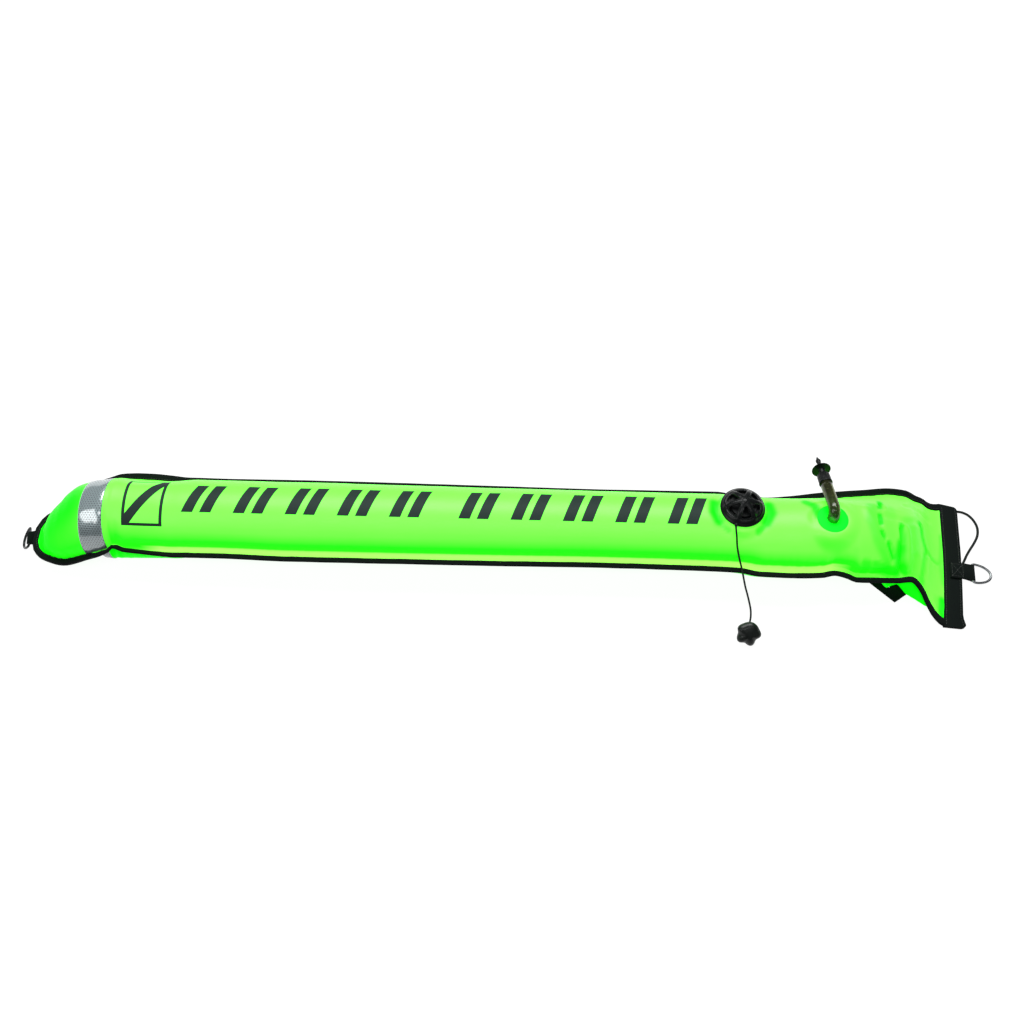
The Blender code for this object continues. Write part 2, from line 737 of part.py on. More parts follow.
def ring_and_tab(ring_name, tab_name, bar, outward, droop, depth, tail_start, tail_rise,
                 tail_length):
    """A D-ring on a tab folded round its bar. The tab's tail runs back along the bag's edge."""
    sideways = Vector((0, 0, 1)).cross(outward)
    tilt = math.radians(droop)
    ring_x = outward * math.cos(tilt) - Vector((0, 0, 1)) * math.sin(tilt)
    ring = tube_curve(ring_name, ring_points(depth), RING_WIRE / 2, steel(), sides=3, closed=True)
    ring.matrix_world = axes_matrix(bar, ring_x, sideways)

    eye = RING_WIRE / 2 + FIT_GAP
    rim = eye + TAB_THICKNESS
    tail_end = tail_start + tail_length
    outline = []
    for step in range(13):
        angle = math.radians(120 - 240 * step / 12)
        outline.append((rim * math.cos(angle), rim * math.sin(angle)))
    outline.append((-tail_start, tail_rise - TAB_THICKNESS))
    outline.append((-tail_end, tail_rise - TAB_THICKNESS))
    outline.append((-tail_end, tail_rise + TAB_THICKNESS))
    outline.append((-tail_start, tail_rise + TAB_THICKNESS))
    hole = []
    for step in range(16):
        angle = 2 * math.pi * step / 16
        hole.append((eye / math.cos(math.pi / 16) * math.cos(angle),
                     eye / math.cos(math.pi / 16) * math.sin(angle)))
    plate(tab_name, outline, TAB_WIDTH, black_tape(),
          axes_matrix(bar, outward, Vector((0, 0, 1))), holes=(hole,))


def bottom_ring():
    near, far = hem_line(0)
    along = (BOTTOM_TAB_OFFSET - near.y) / (far.y - near.y)
    height = RING_WIRE / 2 + FIT_GAP + TAB_THICKNESS + 0.1 * MM
    bar = near.lerp(far, along) + HEM_ACROSS * BOTTOM_TAB_REACH + Vector((0, 0, height))
    drop = height - RING_WIRE / 2 - 0.1 * MM
    droop = math.degrees(math.asin(drop / (BOTTOM_RING_DEPTH + RING_WIRE)))
    ring_and_tab("bottom_d_ring", "bottom_tab", bar, HEM_ACROSS, droop, BOTTOM_RING_DEPTH,
                 BOTTOM_TAB_REACH - 2 * MM, HEM_STACK + FIT_GAP + TAB_THICKNESS - height,
                 BOTTOM_TAB_SEWN_LENGTH)


def top_ring():
    """The ring at the closed end, on a tab sewn under the edge tape."""
    row = STATIONS[0]
    turn = math.radians(TOP_RING_TURN)
    outward = Vector((-math.cos(turn), -math.sin(turn), 0))
    bar = Vector((row[1] - BINDING_FOLD, TOP_TAB_OFFSET, row[4])) + outward * TOP_TAB_REACH
    under = SEAM_GAP / 2 + CLOTH + BINDING_GAP + BINDING_THICKNESS + FIT_GAP
    ring_and_tab("top_d_ring", "top_tab", bar, outward, TOP_RING_DROOP, RING_DEPTH,
                 TOP_TAB_REACH - 2 * MM, -under - TAB_THICKNESS, TOP_TAB_SEWN_LENGTH)


# Dump valve

def valve_levels():
    """Heights of the valve's parts above its seat on the cloth."""
    gasket = CLOTH + FIT_GAP
    flange = gasket + GASKET_THICKNESS + FIT_GAP
    seat = flange + VALVE_FLANGE_THICKNESS
    return gasket, flange, seat


def place_on_valve(made, height=0.0):
    made.location = (VALVE_X, VALVE_Y, VALVE_PLANE + height)
    return made


def valve_gasket():
    gasket, flange, seat = valve_levels()
    throat = VALVE_THROAT + VALVE_WALL + FIT_GAP
    rim = VALVE_RADIUS - CAP_WALL - FIT_GAP
    place_on_valve(turned("valve_gasket", (
        (throat, gasket + GASKET_THICKNESS), (rim, gasket + GASKET_THICKNESS),
        (rim, gasket), (throat, gasket)), black_rubber()))


def valve_body():
    """Flanged throat that passes through the cloth, with a spider that guides the poppet."""
    gasket, flange, seat = valve_levels()
    rim = VALVE_RADIUS - CAP_WALL - FIT_GAP
    outer = VALVE_THROAT + VALVE_WALL
    body = place_on_valve(turned("valve_body", (
        (VALVE_THROAT, seat), (rim, seat), (rim, flange), (outer, flange),
        (outer, -VALVE_DEPTH), (VALVE_THROAT, -VALVE_DEPTH)), black_plastic()))
    hub = turned("spider_hub", (
        (POPPET_STEM_RADIUS + 0.1 * MM, -VALVE_DEPTH + 5 * MM),
        (SPIDER_HUB_RADIUS, -VALVE_DEPTH + 5 * MM),
        (SPIDER_HUB_RADIUS, -VALVE_DEPTH + 0.5 * MM),
        (POPPET_STEM_RADIUS + 0.1 * MM, -VALVE_DEPTH + 0.5 * MM)), black_plastic(),
        collection=CUTTERS)
    place_on_valve(hub)
    cut(body, hub, "UNION")
    inside = SPIDER_HUB_RADIUS - 0.8 * MM
    length = VALVE_THROAT + 1 * MM - inside
    for i in range(SPIDER_SPOKES):
        angle = 2 * math.pi * i / SPIDER_SPOKES
        reach = inside + length / 2
        spot = Vector((VALVE_X + reach * math.cos(angle), VALVE_Y + reach * math.sin(angle),
                       VALVE_PLANE - VALVE_DEPTH + 2 * MM))
        matrix = Matrix.Translation(spot) @ Matrix.Rotation(angle, 4, "Z")
        spoke = box_cutter(f"spider_spoke_{i + 1}", (length, SPIDER_SPOKE, SPIDER_SPOKE), matrix)
        cut(body, spoke, "UNION")


def valve_backing_ring():
    """Threaded ring inside the bag that clamps the cloth against the gasket."""
    inner = VALVE_THROAT + VALVE_WALL + FIT_GAP
    top = -2 * FIT_GAP
    place_on_valve(turned("valve_backing_ring", (
        (inner, top), (BACKING_RADIUS, top), (BACKING_RADIUS, top - BACKING_THICKNESS),
        (inner, top - BACKING_THICKNESS)), black_plastic()))


def valve_poppet():
    """Disc and stem that lift off the seat, with the rubber seal under the disc."""
    gasket, flange, seat = valve_levels()
    under = seat + FIT_GAP + SEAL_THICKNESS + FIT_GAP
    place_on_valve(turned("valve_poppet", (
        (0.0, under + POPPET_THICKNESS + 2 * MM), (3 * MM, under + POPPET_THICKNESS + 2 * MM),
        (3.6 * MM, under + POPPET_THICKNESS), (POPPET_RADIUS, under + POPPET_THICKNESS),
        (POPPET_RADIUS, under), (POPPET_STEM_RADIUS, under),
        (POPPET_STEM_RADIUS, -VALVE_DEPTH - 1 * MM), (0.0, -VALVE_DEPTH - 1 * MM)),
        black_plastic(), closed=False))
    inner = VALVE_THROAT - 3 * MM
    rim = POPPET_RADIUS - 0.4 * MM
    top = under - FIT_GAP
    place_on_valve(turned("valve_seal", (
        (inner, top), (rim, top), (rim, top - SEAL_THICKNESS), (inner, top - SEAL_THICKNESS)),
        black_rubber()))


def cap_profile():
    """The cap's closed section: outer face down, inner face back up."""
    gasket, flange, seat = valve_levels()
    foot = gasket + 0.1 * MM
    outer = [
        (0.0, CAP_HEIGHT), (CAP_HUB_RADIUS, CAP_HEIGHT - 0.3 * MM),
        (CAP_HUB_RADIUS + 2.5 * MM, CAP_HEIGHT - 1.6 * MM),
        (15 * MM, CAP_HEIGHT - 4.6 * MM), (20.5 * MM, CAP_HEIGHT - 8 * MM),
        (CAP_SHOULDER_RADIUS, CAP_SHOULDER_HEIGHT),
        (VALVE_RADIUS - 1.2 * MM, 3.6 * MM), (VALVE_RADIUS, 2.4 * MM), (VALVE_RADIUS, foot),
    ]
    inner = [
        (VALVE_RADIUS - CAP_WALL, foot), (VALVE_RADIUS - CAP_WALL, seat + 0.2 * MM),
        (CAP_SHOULDER_RADIUS - CAP_WALL, CAP_SHOULDER_HEIGHT - 1 * MM),
        (15 * MM, CAP_HEIGHT - 4.6 * MM - CAP_WALL), (7 * MM, CAP_HEIGHT - CAP_WALL - 1.6 * MM),
        (CAP_HUB_RADIUS, CAP_HEIGHT - CAP_WALL - 2.4 * MM), (0.0, CAP_HEIGHT - CAP_WALL - 2.4 * MM),
    ]
    return outer + inner


def valve_cap():
    """Vented dome with a ring of windows and a notch for the pull cord."""
    cap = place_on_valve(turned("valve_cap", cap_profile(), black_plastic(), closed=False,
                                steps=48))
    wedge = []
    pitch = 2 * math.pi / CAP_WINDOWS
    inner, outer = CAP_HUB_RADIUS + 2 * MM, CAP_SHOULDER_RADIUS - 3 * MM
    tangent, rib = math.tan(pitch / 2), CAP_RIB / 2 / math.cos(pitch / 2)
    corner = outer - 2.5 * MM
    side = [(inner, inner * tangent - rib), (corner, corner * tangent - rib),
            (outer - 0.9 * MM, 6.2 * MM), (outer, 2.5 * MM)]
    shape = [(r, -w) for r, w in side] + side[::-1]
    for i in range(CAP_WINDOWS):
        turn = math.radians(CAP_TURN) + pitch * (i + 0.5)
        wedge.append([(r * math.cos(turn) - w * math.sin(turn),
                       r * math.sin(turn) + w * math.cos(turn)) for r, w in shape])
    points, faces = [], []
    for loop in wedge:
        base, count = len(points), len(loop)
        for height in (CAP_SHOULDER_HEIGHT - 4.5 * MM, CAP_HEIGHT + 3 * MM):
            points += [(x, y, height) for x, y in loop]
        faces.append(tuple(base + j for j in reversed(range(count))))
        faces.append(tuple(base + count + j for j in range(count)))
        for j in range(count):
            k = (j + 1) % count
            faces.append((base + j, base + k, base + count + k, base + count + j))
    windows = add_object("cap_windows", mesh_from("cap_windows", points, faces),
                         black_plastic(), CUTTERS)
    place_on_valve(windows)
    cut(cap, windows)
    gasket, flange, seat = valve_levels()
    exit_point = Vector(CORD_ROUTE[0]) * MM
    aim = Vector((exit_point.x - VALVE_X, exit_point.y - VALVE_Y, 0)).normalized()
    notch = Matrix.Translation(exit_point) @ Matrix.Rotation(math.atan2(aim.y, aim.x), 4, "Z")
    size = (4 * CORD_RADIUS, 2 * (CORD_RADIUS + 2 * FIT_GAP), 2 * (CORD_RADIUS + 2 * FIT_GAP))
    cut(cap, box_cutter("cord_notch", size, notch))


def valve_spring():
    """Compression spring between the poppet and the cap's hub."""
    gasket, flange, seat = valve_levels()
    low = seat + 2 * FIT_GAP + SEAL_THICKNESS + POPPET_THICKNESS + DUMP_SPRING_WIRE / 2 + FIT_GAP
    high = CAP_HEIGHT - CAP_WALL - 2.4 * MM - DUMP_SPRING_WIRE / 2 - FIT_GAP
    made = helix("valve_spring", DUMP_SPRING_RADIUS, DUMP_SPRING_WIRE, DUMP_SPRING_TURNS,
                 low, high)
    place_on_valve(made)


def helix(name, radius, wire, turns, low, high):
    """A coil spring round its own Z axis, as one tube."""
    spots = 10
    count = spots * turns + 1
    points = []
    for i in range(count):
        angle = 2 * math.pi * i / spots
        points.append((radius * math.cos(angle), radius * math.sin(angle),
                       low + (high - low) * i / (count - 1)))
    pitch = (high - low) / turns
    print(f"{name}: least gap between turns {(pitch - wire) / MM:.2f} mm")
    return tube_curve(name, points, wire / 2, steel(), sides=1)


# Pull cord, knob and bungee

def pull_cord():
    points, length = smooth_route(CORD_ROUTE, 5 * CORD_RADIUS)
    print(f"pull_cord: {length / MM:.0f} mm")
    tube_curve("pull_cord", points, CORD_RADIUS, black_tape())


def pull_knob():
    """A bell with five lobes. Its apex takes the cord and its face looks up and forward."""
    sections = []
    for forward, radius, depth in KNOB_PROFILE:
        section = []
        for j in range(KNOB_STEPS):
            turn = 2 * math.pi * j / KNOB_STEPS
            lobe = 1 + depth * math.cos(KNOB_LOBES * (turn - math.radians(KNOB_PHASE)))
            reach = radius * lobe * MM
            section.append(Vector((reach * math.cos(turn), reach * math.sin(turn),
                                   forward * MM)))
        sections.append(section)
    knob = sweep("pull_knob", sections, black_rubber())
    tilt = math.radians(KNOB_TILT)
    upward = Vector((0, math.sin(tilt), math.cos(tilt)))
    knob.matrix_world = axes_matrix(Vector(KNOB_APEX), Vector((1, 0, 0)), upward)
    lowest = min((knob.matrix_world @ vertex.co).z for vertex in knob.data.vertices)
    print(f"pull_knob: lowest point {lowest / MM:.2f} mm above the floor")


def bungee_loop():
    points, length = smooth_route(BUNGEE_ROUTE, 5 * BUNGEE_RADIUS)
    print(f"bungee_loop: {length / MM:.0f} mm")
    tube_curve("bungee_loop", points, BUNGEE_RADIUS, black_tape())


# Oral inflator

def inflator_direction():
    turn, slope = math.radians(INFLATOR_TURN), math.radians(INFLATOR_SLOPE)
    return Vector((-math.sin(turn) * math.cos(slope), math.cos(turn) * math.cos(slope),
                   -math.sin(slope)))


def inflator_path():
    """The tube's centre line: up from inside the bag, round the bend and out."""
    aim = inflator_direction()
    base = Vector((INFLATOR_X, INFLATOR_Y, INFLATOR_PLANE))
    bend_angle = math.acos(aim.z)
    level = Vector((aim.x, aim.y, 0)).normalized()
    start = base + Vector((0, 0, INFLATOR_TUBE_RISE - INFLATOR_BEND_RADIUS))
    points = [base - Vector((0, 0, 5 * MM)), start]
    for step in range(1, 7):
        angle = bend_angle * step / 6
        points.append(start + level * INFLATOR_BEND_RADIUS * (1 - math.cos(angle))
                      + Vector((0, 0, INFLATOR_BEND_RADIUS * math.sin(angle))))
    points.append(points[-1] + aim * INFLATOR_TUBE_RUN)
    return points


def inflator_place(made, distance=0.0):
    """Put a turned piece on the tube's axis, this far past the tube's end."""
    end = inflator_path()[-1]
    aim = inflator_direction()
    made.matrix_world = along_axis(end + aim * distance, aim)
    return made


def inflator_flange():
    inner = INFLATOR_TUBE_RADIUS + FIT_GAP
    low = CLOTH + FIT_GAP
    high = low + INFLATOR_FLANGE_THICKNESS
    made = turned("inflator_flange", (
        (inner, high + 2 * MM), (inner + 1.5 * MM, high + 2 * MM), (inner + 2 * MM, high),
        (INFLATOR_FLANGE_RADIUS - 1 * MM, high), (INFLATOR_FLANGE_RADIUS, low), (inner, low)),
        green_cloth())
    made.location = (INFLATOR_X, INFLATOR_Y, INFLATOR_PLANE)


def inflator_tube():
    made = tube_curve("inflator_tube", inflator_path(), INFLATOR_TUBE_RADIUS, smoky_plastic(),
                      sides=6, caps=False)
    made = curve_to_mesh(made)
    solid = made.modifiers.new("wall", "SOLIDIFY")
    solid.thickness = INFLATOR_TUBE_WALL
    solid.offset = -1.0


def inflator_housing():
    """Valve housing: a plug in the tube's end and a threaded head outside it."""
    plug = INFLATOR_TUBE_RADIUS - INFLATOR_TUBE_WALL - FIT_GAP
    head = COLLAR_RADIUS - COLLAR_WALL - FIT_GAP
    shoulder = FIT_GAP
    inflator_place(turned("inflator_housing", (
        (HOUSING_BORE, shoulder + HOUSING_HEAD_LENGTH), (head, shoulder + HOUSING_HEAD_LENGTH),
        (head, shoulder), (plug, shoulder), (plug, shoulder - HOUSING_PLUG_LENGTH),
        (STEM_RADIUS + 1.2 * MM, shoulder - HOUSING_PLUG_LENGTH),
        (STEM_RADIUS + 1.2 * MM, shoulder - HOUSING_PLUG_LENGTH + 3 * MM),
        (HOUSING_BORE, shoulder - HOUSING_PLUG_LENGTH + 3 * MM)), black_plastic()))


def inflator_collar():
    start = 2 * FIT_GAP
    inner = COLLAR_RADIUS - COLLAR_WALL
    inflator_place(turned("inflator_collar", (
        (inner, start + COLLAR_LENGTH), (COLLAR_RADIUS - 0.8 * MM, start + COLLAR_LENGTH),
        (COLLAR_RADIUS - 0.4 * MM, start + 2.4 * MM), (COLLAR_RADIUS, start + 2 * MM),
        (COLLAR_RADIUS, start), (inner, start)), black_plastic()))


def inflator_stem():
    """Mouthpiece: an inner rod with a valve foot, a lip disc and a nipple at the tip."""
    seat = FIT_GAP - HOUSING_PLUG_LENGTH
    foot = seat - FIT_GAP
    groove = INFLATOR_SEAL_RADIUS - 2 * MM
    neck = HOUSING_BORE - 0.4 * MM
    mouth = FIT_GAP + HOUSING_HEAD_LENGTH
    disc = mouth + STEM_NECK_LENGTH
    tip = disc + LIP_THICKNESS + NIPPLE_LENGTH
    inflator_place(turned("inflator_stem", (
        (0.0, tip), (1.1 * MM, tip), (1.5 * MM, tip - 3 * MM), (NIPPLE_RADIUS, tip - 5 * MM),
        (NIPPLE_RADIUS, tip - 7 * MM), (2.4 * MM, disc + LIP_THICKNESS + 1 * MM),
        (4 * MM, disc + LIP_THICKNESS), (LIP_RADIUS, disc + LIP_THICKNESS * 0.6), (LIP_RADIUS, disc),
        (neck, disc), (neck, mouth - 3 * MM), (STEM_RADIUS, mouth - 3 * MM),
        (STEM_RADIUS, foot - 1.6 * MM), (groove + 1.8 * MM, foot - 1.6 * MM),
        (groove + 1.8 * MM, foot - 3.2 * MM), (0.0, foot - 3.2 * MM)), black_plastic(),
        closed=False))
    inflator_place(turned("inflator_seal", (
        (STEM_RADIUS + FIT_GAP, foot), (INFLATOR_SEAL_RADIUS, foot),
        (INFLATOR_SEAL_RADIUS, foot - 1.3 * MM), (STEM_RADIUS + FIT_GAP, foot - 1.3 * MM)),
        black_rubber()))


def inflator_spring():
    low = FIT_GAP - HOUSING_PLUG_LENGTH + 3 * MM + FIT_GAP + INFLATOR_SPRING_WIRE / 2
    high = FIT_GAP + HOUSING_HEAD_LENGTH - 3 * MM - FIT_GAP - INFLATOR_SPRING_WIRE / 2
    inflator_place(helix("inflator_spring", (STEM_RADIUS + HOUSING_BORE) / 2,
                         INFLATOR_SPRING_WIRE, INFLATOR_SPRING_TURNS, low, high))


def shade_round_pieces():
    """Smooth shading on everything but the flat webbing plates."""
    for item in PART.objects:
        if item.type == "MESH":
            item.data.shade_smooth()
            item.data.set_sharp_from_angle(angle=math.radians(35))


def build():
    clear_scene()
    bag_panels()
    edge_binding()
    mouth_hem()
    duckbill()
    reflective_band()
    stow_strap()
    bottom_ring()
    top_ring()
    valve_gasket()
    valve_body()
    valve_backing_ring()
    valve_poppet()
    valve_spring()
    valve_cap()
    pull_cord()
    pull_knob()
    bungee_loop()
    inflator_flange()
    inflator_tube()
    inflator_housing()
    inflator_collar()
    inflator_stem()
    inflator_spring()
    shade_round_pieces()


build()
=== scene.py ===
"""Dresses the surface marker buoy: cloth, tapes, webbing, dump valve, inflator, cords, stage.

Lengths are in metres in the CAD frame. Where a name ends in _MM, and in the x column of the
tables of constants, they are in millimetres. Angles in constants are in degrees.
"""

import functools
import math

import bmesh
import bpy
import numpy as np
from bpy.props import FloatProperty, FloatVectorProperty, IntProperty, PointerProperty
from mathutils import Matrix, Vector, noise


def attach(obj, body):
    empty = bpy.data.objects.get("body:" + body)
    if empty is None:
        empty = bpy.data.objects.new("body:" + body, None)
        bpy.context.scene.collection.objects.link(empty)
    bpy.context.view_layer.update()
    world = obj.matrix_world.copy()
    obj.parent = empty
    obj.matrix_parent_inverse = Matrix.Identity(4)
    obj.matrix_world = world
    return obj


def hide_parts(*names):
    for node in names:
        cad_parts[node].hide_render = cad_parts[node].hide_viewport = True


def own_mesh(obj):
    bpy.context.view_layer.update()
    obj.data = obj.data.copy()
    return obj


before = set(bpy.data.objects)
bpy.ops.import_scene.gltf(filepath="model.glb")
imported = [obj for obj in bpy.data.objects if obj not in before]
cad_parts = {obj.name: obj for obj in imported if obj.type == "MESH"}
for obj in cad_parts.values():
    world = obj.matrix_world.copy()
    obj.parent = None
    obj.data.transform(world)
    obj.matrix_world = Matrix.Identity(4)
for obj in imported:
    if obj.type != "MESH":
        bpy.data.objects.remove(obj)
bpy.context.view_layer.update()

bl_info = {
    "name": "Surface marker buoy",
    "version": (1, 0, 0),
    "blender": (4, 5, 0),
    "location": "View3D > Sidebar > Buoy",
    "description": "Builds the cloth, webbing, valve and inflator of a surface marker buoy",
    "category": "Add Mesh",
}

MM = 0.001
UP = Vector((0, 0, 1))

# The CAD's own sizes and places, repeated here so that every piece sits on its solid
CLOTH = 0.6 * MM
SEAM_GAP = 0.3 * MM
FIT_GAP = 0.3 * MM
FLANGE_WIDTH = 8.2 * MM
HEM_WIDTH = 25.5 * MM
HEM_THICKNESS = 1.3 * MM
HEM_NEAR_END = (641.5 * MM, -110 * MM)
HEM_FAR_END = (661 * MM, 81.5 * MM)
HEM_NEAR_OVERHANG = 5 * MM
HEM_FAR_OVERHANG = 0.5 * MM
HEM_CORNER = 6 * MM
BINDING_FOLD = 1.2 * MM
DUCKBILL_START = 500 * MM
DUCKBILL_END = 590 * MM
TAPE_START = -583 * MM
TAPE_WIDTH = 34 * MM
RING_WIRE = 3.5 * MM
RING_BAR = 25.6 * MM
RING_DEPTH = 20 * MM
BOTTOM_RING_DEPTH = 23 * MM
BOTTOM_RING_Y = -27 * MM
BOTTOM_RING_OUT = 14 * MM
RING_CORNER = 3 * MM
TAB_WIDTH = 24.6 * MM
TAB_THICKNESS = 1.4 * MM
TOP_RING_DROOP = 50.4
TOP_RING_TURN = 10
TOP_RING_Y = -14 * MM
TOP_RING_OUT = 6 * MM
TOP_TAB_UNDER = (0.15 + 0.6 + 0.6 + 0.8 + 0.3) * MM
TOP_TAB_TAPER = 0.34
VALVE = Vector((323.5, 11.5, 102.4)) * MM
INFLATOR = Vector((444, -3, 103.6)) * MM
INFLATOR_TUBE_RADIUS = 8 * MM
INFLATOR_TURN = 3.5
INFLATOR_SLOPE = 15.0

# The mouth sheets' columns, and their inset and sag at the inner end with their change from there
# to the mouth, then the columns cut off each side of the band, and how far the hem's far end
# slants
DUCKBILL_COLUMNS = 24
DUCKBILL_INSET = (0.1, 0.05)
DUCKBILL_SAG = (0.06, 0.6)
BAND_TRIM = 3
HEM_FAR_SLANT = 3.6 * MM

# The openings in the cloth under the two fittings, and the level above which they are cut
VALVE_OPENING = 19 * MM
INFLATOR_OPENING = 8.5 * MM
OPENING_LEVEL = 80 * MM

# The seals' rubber, and the edge tape's warp and rib pitches
RUBBER_COLOUR = (0.02, 0.02, 0.02)
EDGE_TAPE_PITCHES_MM = (1.1, 1.7)

# The edges' slant: half the length that it is read over, its largest factor on the seam's inset,
# and the inset's largest share of the bag's width
SLANT_REACH = 3 * MM
LARGEST_SLANT = 2.2
LARGEST_INSET = 0.34

# Stations along the bag. At the top end: x, near y and z, far y and z, the front's rise and the
# back's drop. Along the tube: x, near y and far y, with one height, rise and drop. At the mouth
# end: a key, the near and far edges' x, and the rest as at the top end.
TOP_END_MM = (
    (-672, -24, 20, -2, 20, 0, 0),
    (-668, -35, 19.8, 10, 20, 0, 0),
    (-663, -42, 19.5, 18, 19.8, 0.2, 0),
    (-654, -49, 19, 26.5, 19.2, 16, 1),
    (-641, -53.8, 18, 36, 18.8, 38, 11),
    (-629, -57, 18, 46, 21, 48, 14),
    (-617, -58.3, 20, 56, 28, 54, 20),
    (-601, -57.8, 26, 61, 40, 56, 30),
    (-583, -58.2, 37, 62, 49, 55, 40.8),
    (-566, -58.6, 46, 63.5, 56, 52, 48.8),
    (-549, -56.6, 55.5, 66, 61.5, 49, 56),
    (-541, -49.5, 58, 67.5, 60.8, 48, 57.5),
    (-526, -53.6, 56, 68, 61.4, 48.5, 57.8),
    (-505, -54.6, 53.4, 67.5, 61.4, 50, 56.5),
    (-480, -56.8, 52.7, 67, 58.4, 51, 56),
)
STRAIGHT_MM = (
    (-455, -59.2, 67.3), (-400, -59.0, 66.6), (-300, -61.2, 67.2), (-30, -60.2, 65.4),
    (137, -58.8, 63.8), (262, -59.6, 64.4), (322, -61.3, 64.8), (352, -66.3, 64.8),
    (400, -67.3, 64.6),
)
STRAIGHT_SECTION_MM = (53.5, 51.5, 55.7)
MOUTH_END_MM = (
    (436, 436, 436, -64.8, 51.5, 67, 53.5, 51.7, 54.5),
    (455, 455, 455, -60.2, 50, 68, 53.5, 51.7, 53.3),
    (470, 470, 470, -62.3, 47, 69.5, 53.5, 51.5, 51.2),
    (484, 484, 484, -66.6, 44, 71, 53.5, 51, 49.4),
    (512, 512, 512, -64.4, 39.5, 74, 53, 48, 45.5),
    (545, 545, 545, -62, 35.5, 79, 50.5, 39, 40),
    (568, 564, 573, -58.5, 34, 80.8, 43, 29, 33),
    (585, 578, 592, -69, 26, 81.5, 28, 19, 22),
    (597, 588, 606, -85, 15, 82.5, 18, 11, 11),
    (605.5, 597, 614, -98, 8, 82.0, 10.5, 6, 5),
    (615, 607, 623, -105.8, 4, 81.6, 5.5, 2, 1.5),
)
# How far the flat seams tilt down from the line between the edges, by x
NEAR_TILT = ((-600, 0), (-560, 12), (-541, 30), (-500, 34), (-470, 22), (-440, 5), (560, 5),
             (590, 0))
FAR_TILT = ((-580, 0), (-530, 28), (-480, 14), (-400, 8), (400, 8), (480, 28), (570, 28), (597, 0))
# The hem's two rows of points: key, inset of its line, and how far the far edge pulls in
HEM_ROWS_MM = ((625, 25.5, 0.5), (645, 6.5, 5))

# Cords' routes and the spacing of their points, and the knob's profile: height, radius and depth
# of its lobes
CURVE_STEPS = 20
CORD_SPACING = 2.4 * MM
CORD_ROUTE_MM = (
    (311.6, -18.6, 105.2), (311.8, -24.0, 105.0), (312.5, -29.6, 101.8), (313.6, -34.8, 95.8),
    (314.7, -39.6, 89.4), (316.6, -45.0, 82.6), (319.2, -49.6, 74.6), (322.0, -53.0, 66.4),
    (324.1, -56.2, 61.0), (325.2, -60.8, 59.0), (326.9, -65.8, 54.6), (329.5, -68.8, 46.0),
    (333.2, -75.2, 35.0), (338.0, -84.4, 24.0), (342.3, -97.4, 14.0), (342.8, -106.6, 9.2),
    (341.4, -114.2, 6.2), (338.4, -121.8, 4.3),
)
BUNGEE_ROUTE_MM = (
    (660.8, 73.0, 2.35), (664.0, 72.5, 2.35), (668.5, 71.6, 2.2), (676.3, 67.5, 1.6),
    (682.6, 58.6, 1.6), (685.6, 47.0, 1.6), (683.4, 34.0, 1.6), (676.4, 21.5, 1.6),
    (668.4, 10.5, 1.6), (661.6, 0.5, 1.9), (656.7, -8.0, 2.35), (652.6, -14.6, 2.35),
)
KNOB_PROFILE_MM = (
    (0, 2.8, 0), (1.8, 5.0, 0.02), (4.5, 9.0, 0.06), (8, 12.9, 0.1), (11.5, 14.9, 0.12),
    (15.5, 15.1, 0.15), (19, 13.2, 0.2), (21.4, 10, 0.24), (22.8, 5.6, 0.2),
)

# Where the far edge draws in and down, behind the dump valve: x, inward, down
FAR_DROP_MM = (
    (300, 0, 0), (322, 1.8, 3.0), (345, 2.8, 6.2), (372, 3.2, 7.6), (400, 2.2, 4.5),
    (430, 1.2, 2.0), (458, 0, 0),
)
# The front's foot beside the near seam: share of the arc, inward and upward from the seam
FOOT_MM = (
    (0.0, 0.0, 0.0), (0.02, 2.4, 0.1), (0.04, 3.9, 0.6), (0.055, 4.5, 1.8), (0.07, 4.7, 3.8),
    (0.09, 4.8, 7.2), (0.12, 4.8, 12.0), (0.16, 4.9, 18.2), (0.2, 5.2, 24.5), (0.24, 5.8, 30.0),
)
# How long it takes to fade out, and its amount along the bag, by x
FOOT_FADE = 0.12
FOOT_AMOUNT = (
    (-560, 0.0), (-530, 0.2), (-490, 0.6), (-440, 1.0), (490, 1.0), (520, 0.8), (550, 0.4),
    (575, 0.0),
)

# Folds in the mouth end of the front cloth: (x, y) points, depth and width. Each has a lip of the
# other sign at its sides. Ridges stand up between them.
FOLDS_MM = (
    (((545, -2), (547, -18), (546.5, -31), (546, -50)), 3.2, 4.5),
    (((586, 22), (587, 6), (592, -12)), 2.0, 3.0),
    (((592, -12), (584, -47)), 1.6, 3.5),
    (((592, -12), (605, -14), (622, -17)), 1.2, 3.0),
    (((516, 12), (549, 10.5), (580, 21)), 1.2, 4.0),
    (((518, 33), (520, 25)), 1.8, 3.0),
    (((511, 10), (511.6, -3)), 1.8, 3.0),
    (((512, -14), (516, -19)), 1.6, 3.0),
    (((527, -28), (532, -42)), 2.0, 3.5),
    (((569, -29), (569, -50)), 1.4, 4.0),
    (((605, -74), (611, -101)), 1.6, 4.0),
    (((560, 44), (590, 52), (612, 50)), 1.0, 4.0),
)
RIDGES_MM = (
    (((496, 20), (505, -14), (520, -36), (540, -48)), 1.1, 6.0),
    (((553, -2), (556, -30), (556, -48)), 1.4, 5.0),
)
# A factor on them all, the lips' share and place in widths, and where the folds' cloth starts
# and how far it eases from the seams
FOLD_FACTOR = 1.6
FOLD_LIP = 0.3
LIP_PLACE = 1.7
FOLDS_FROM_MM = 480
FOLD_EASE_MM = 8

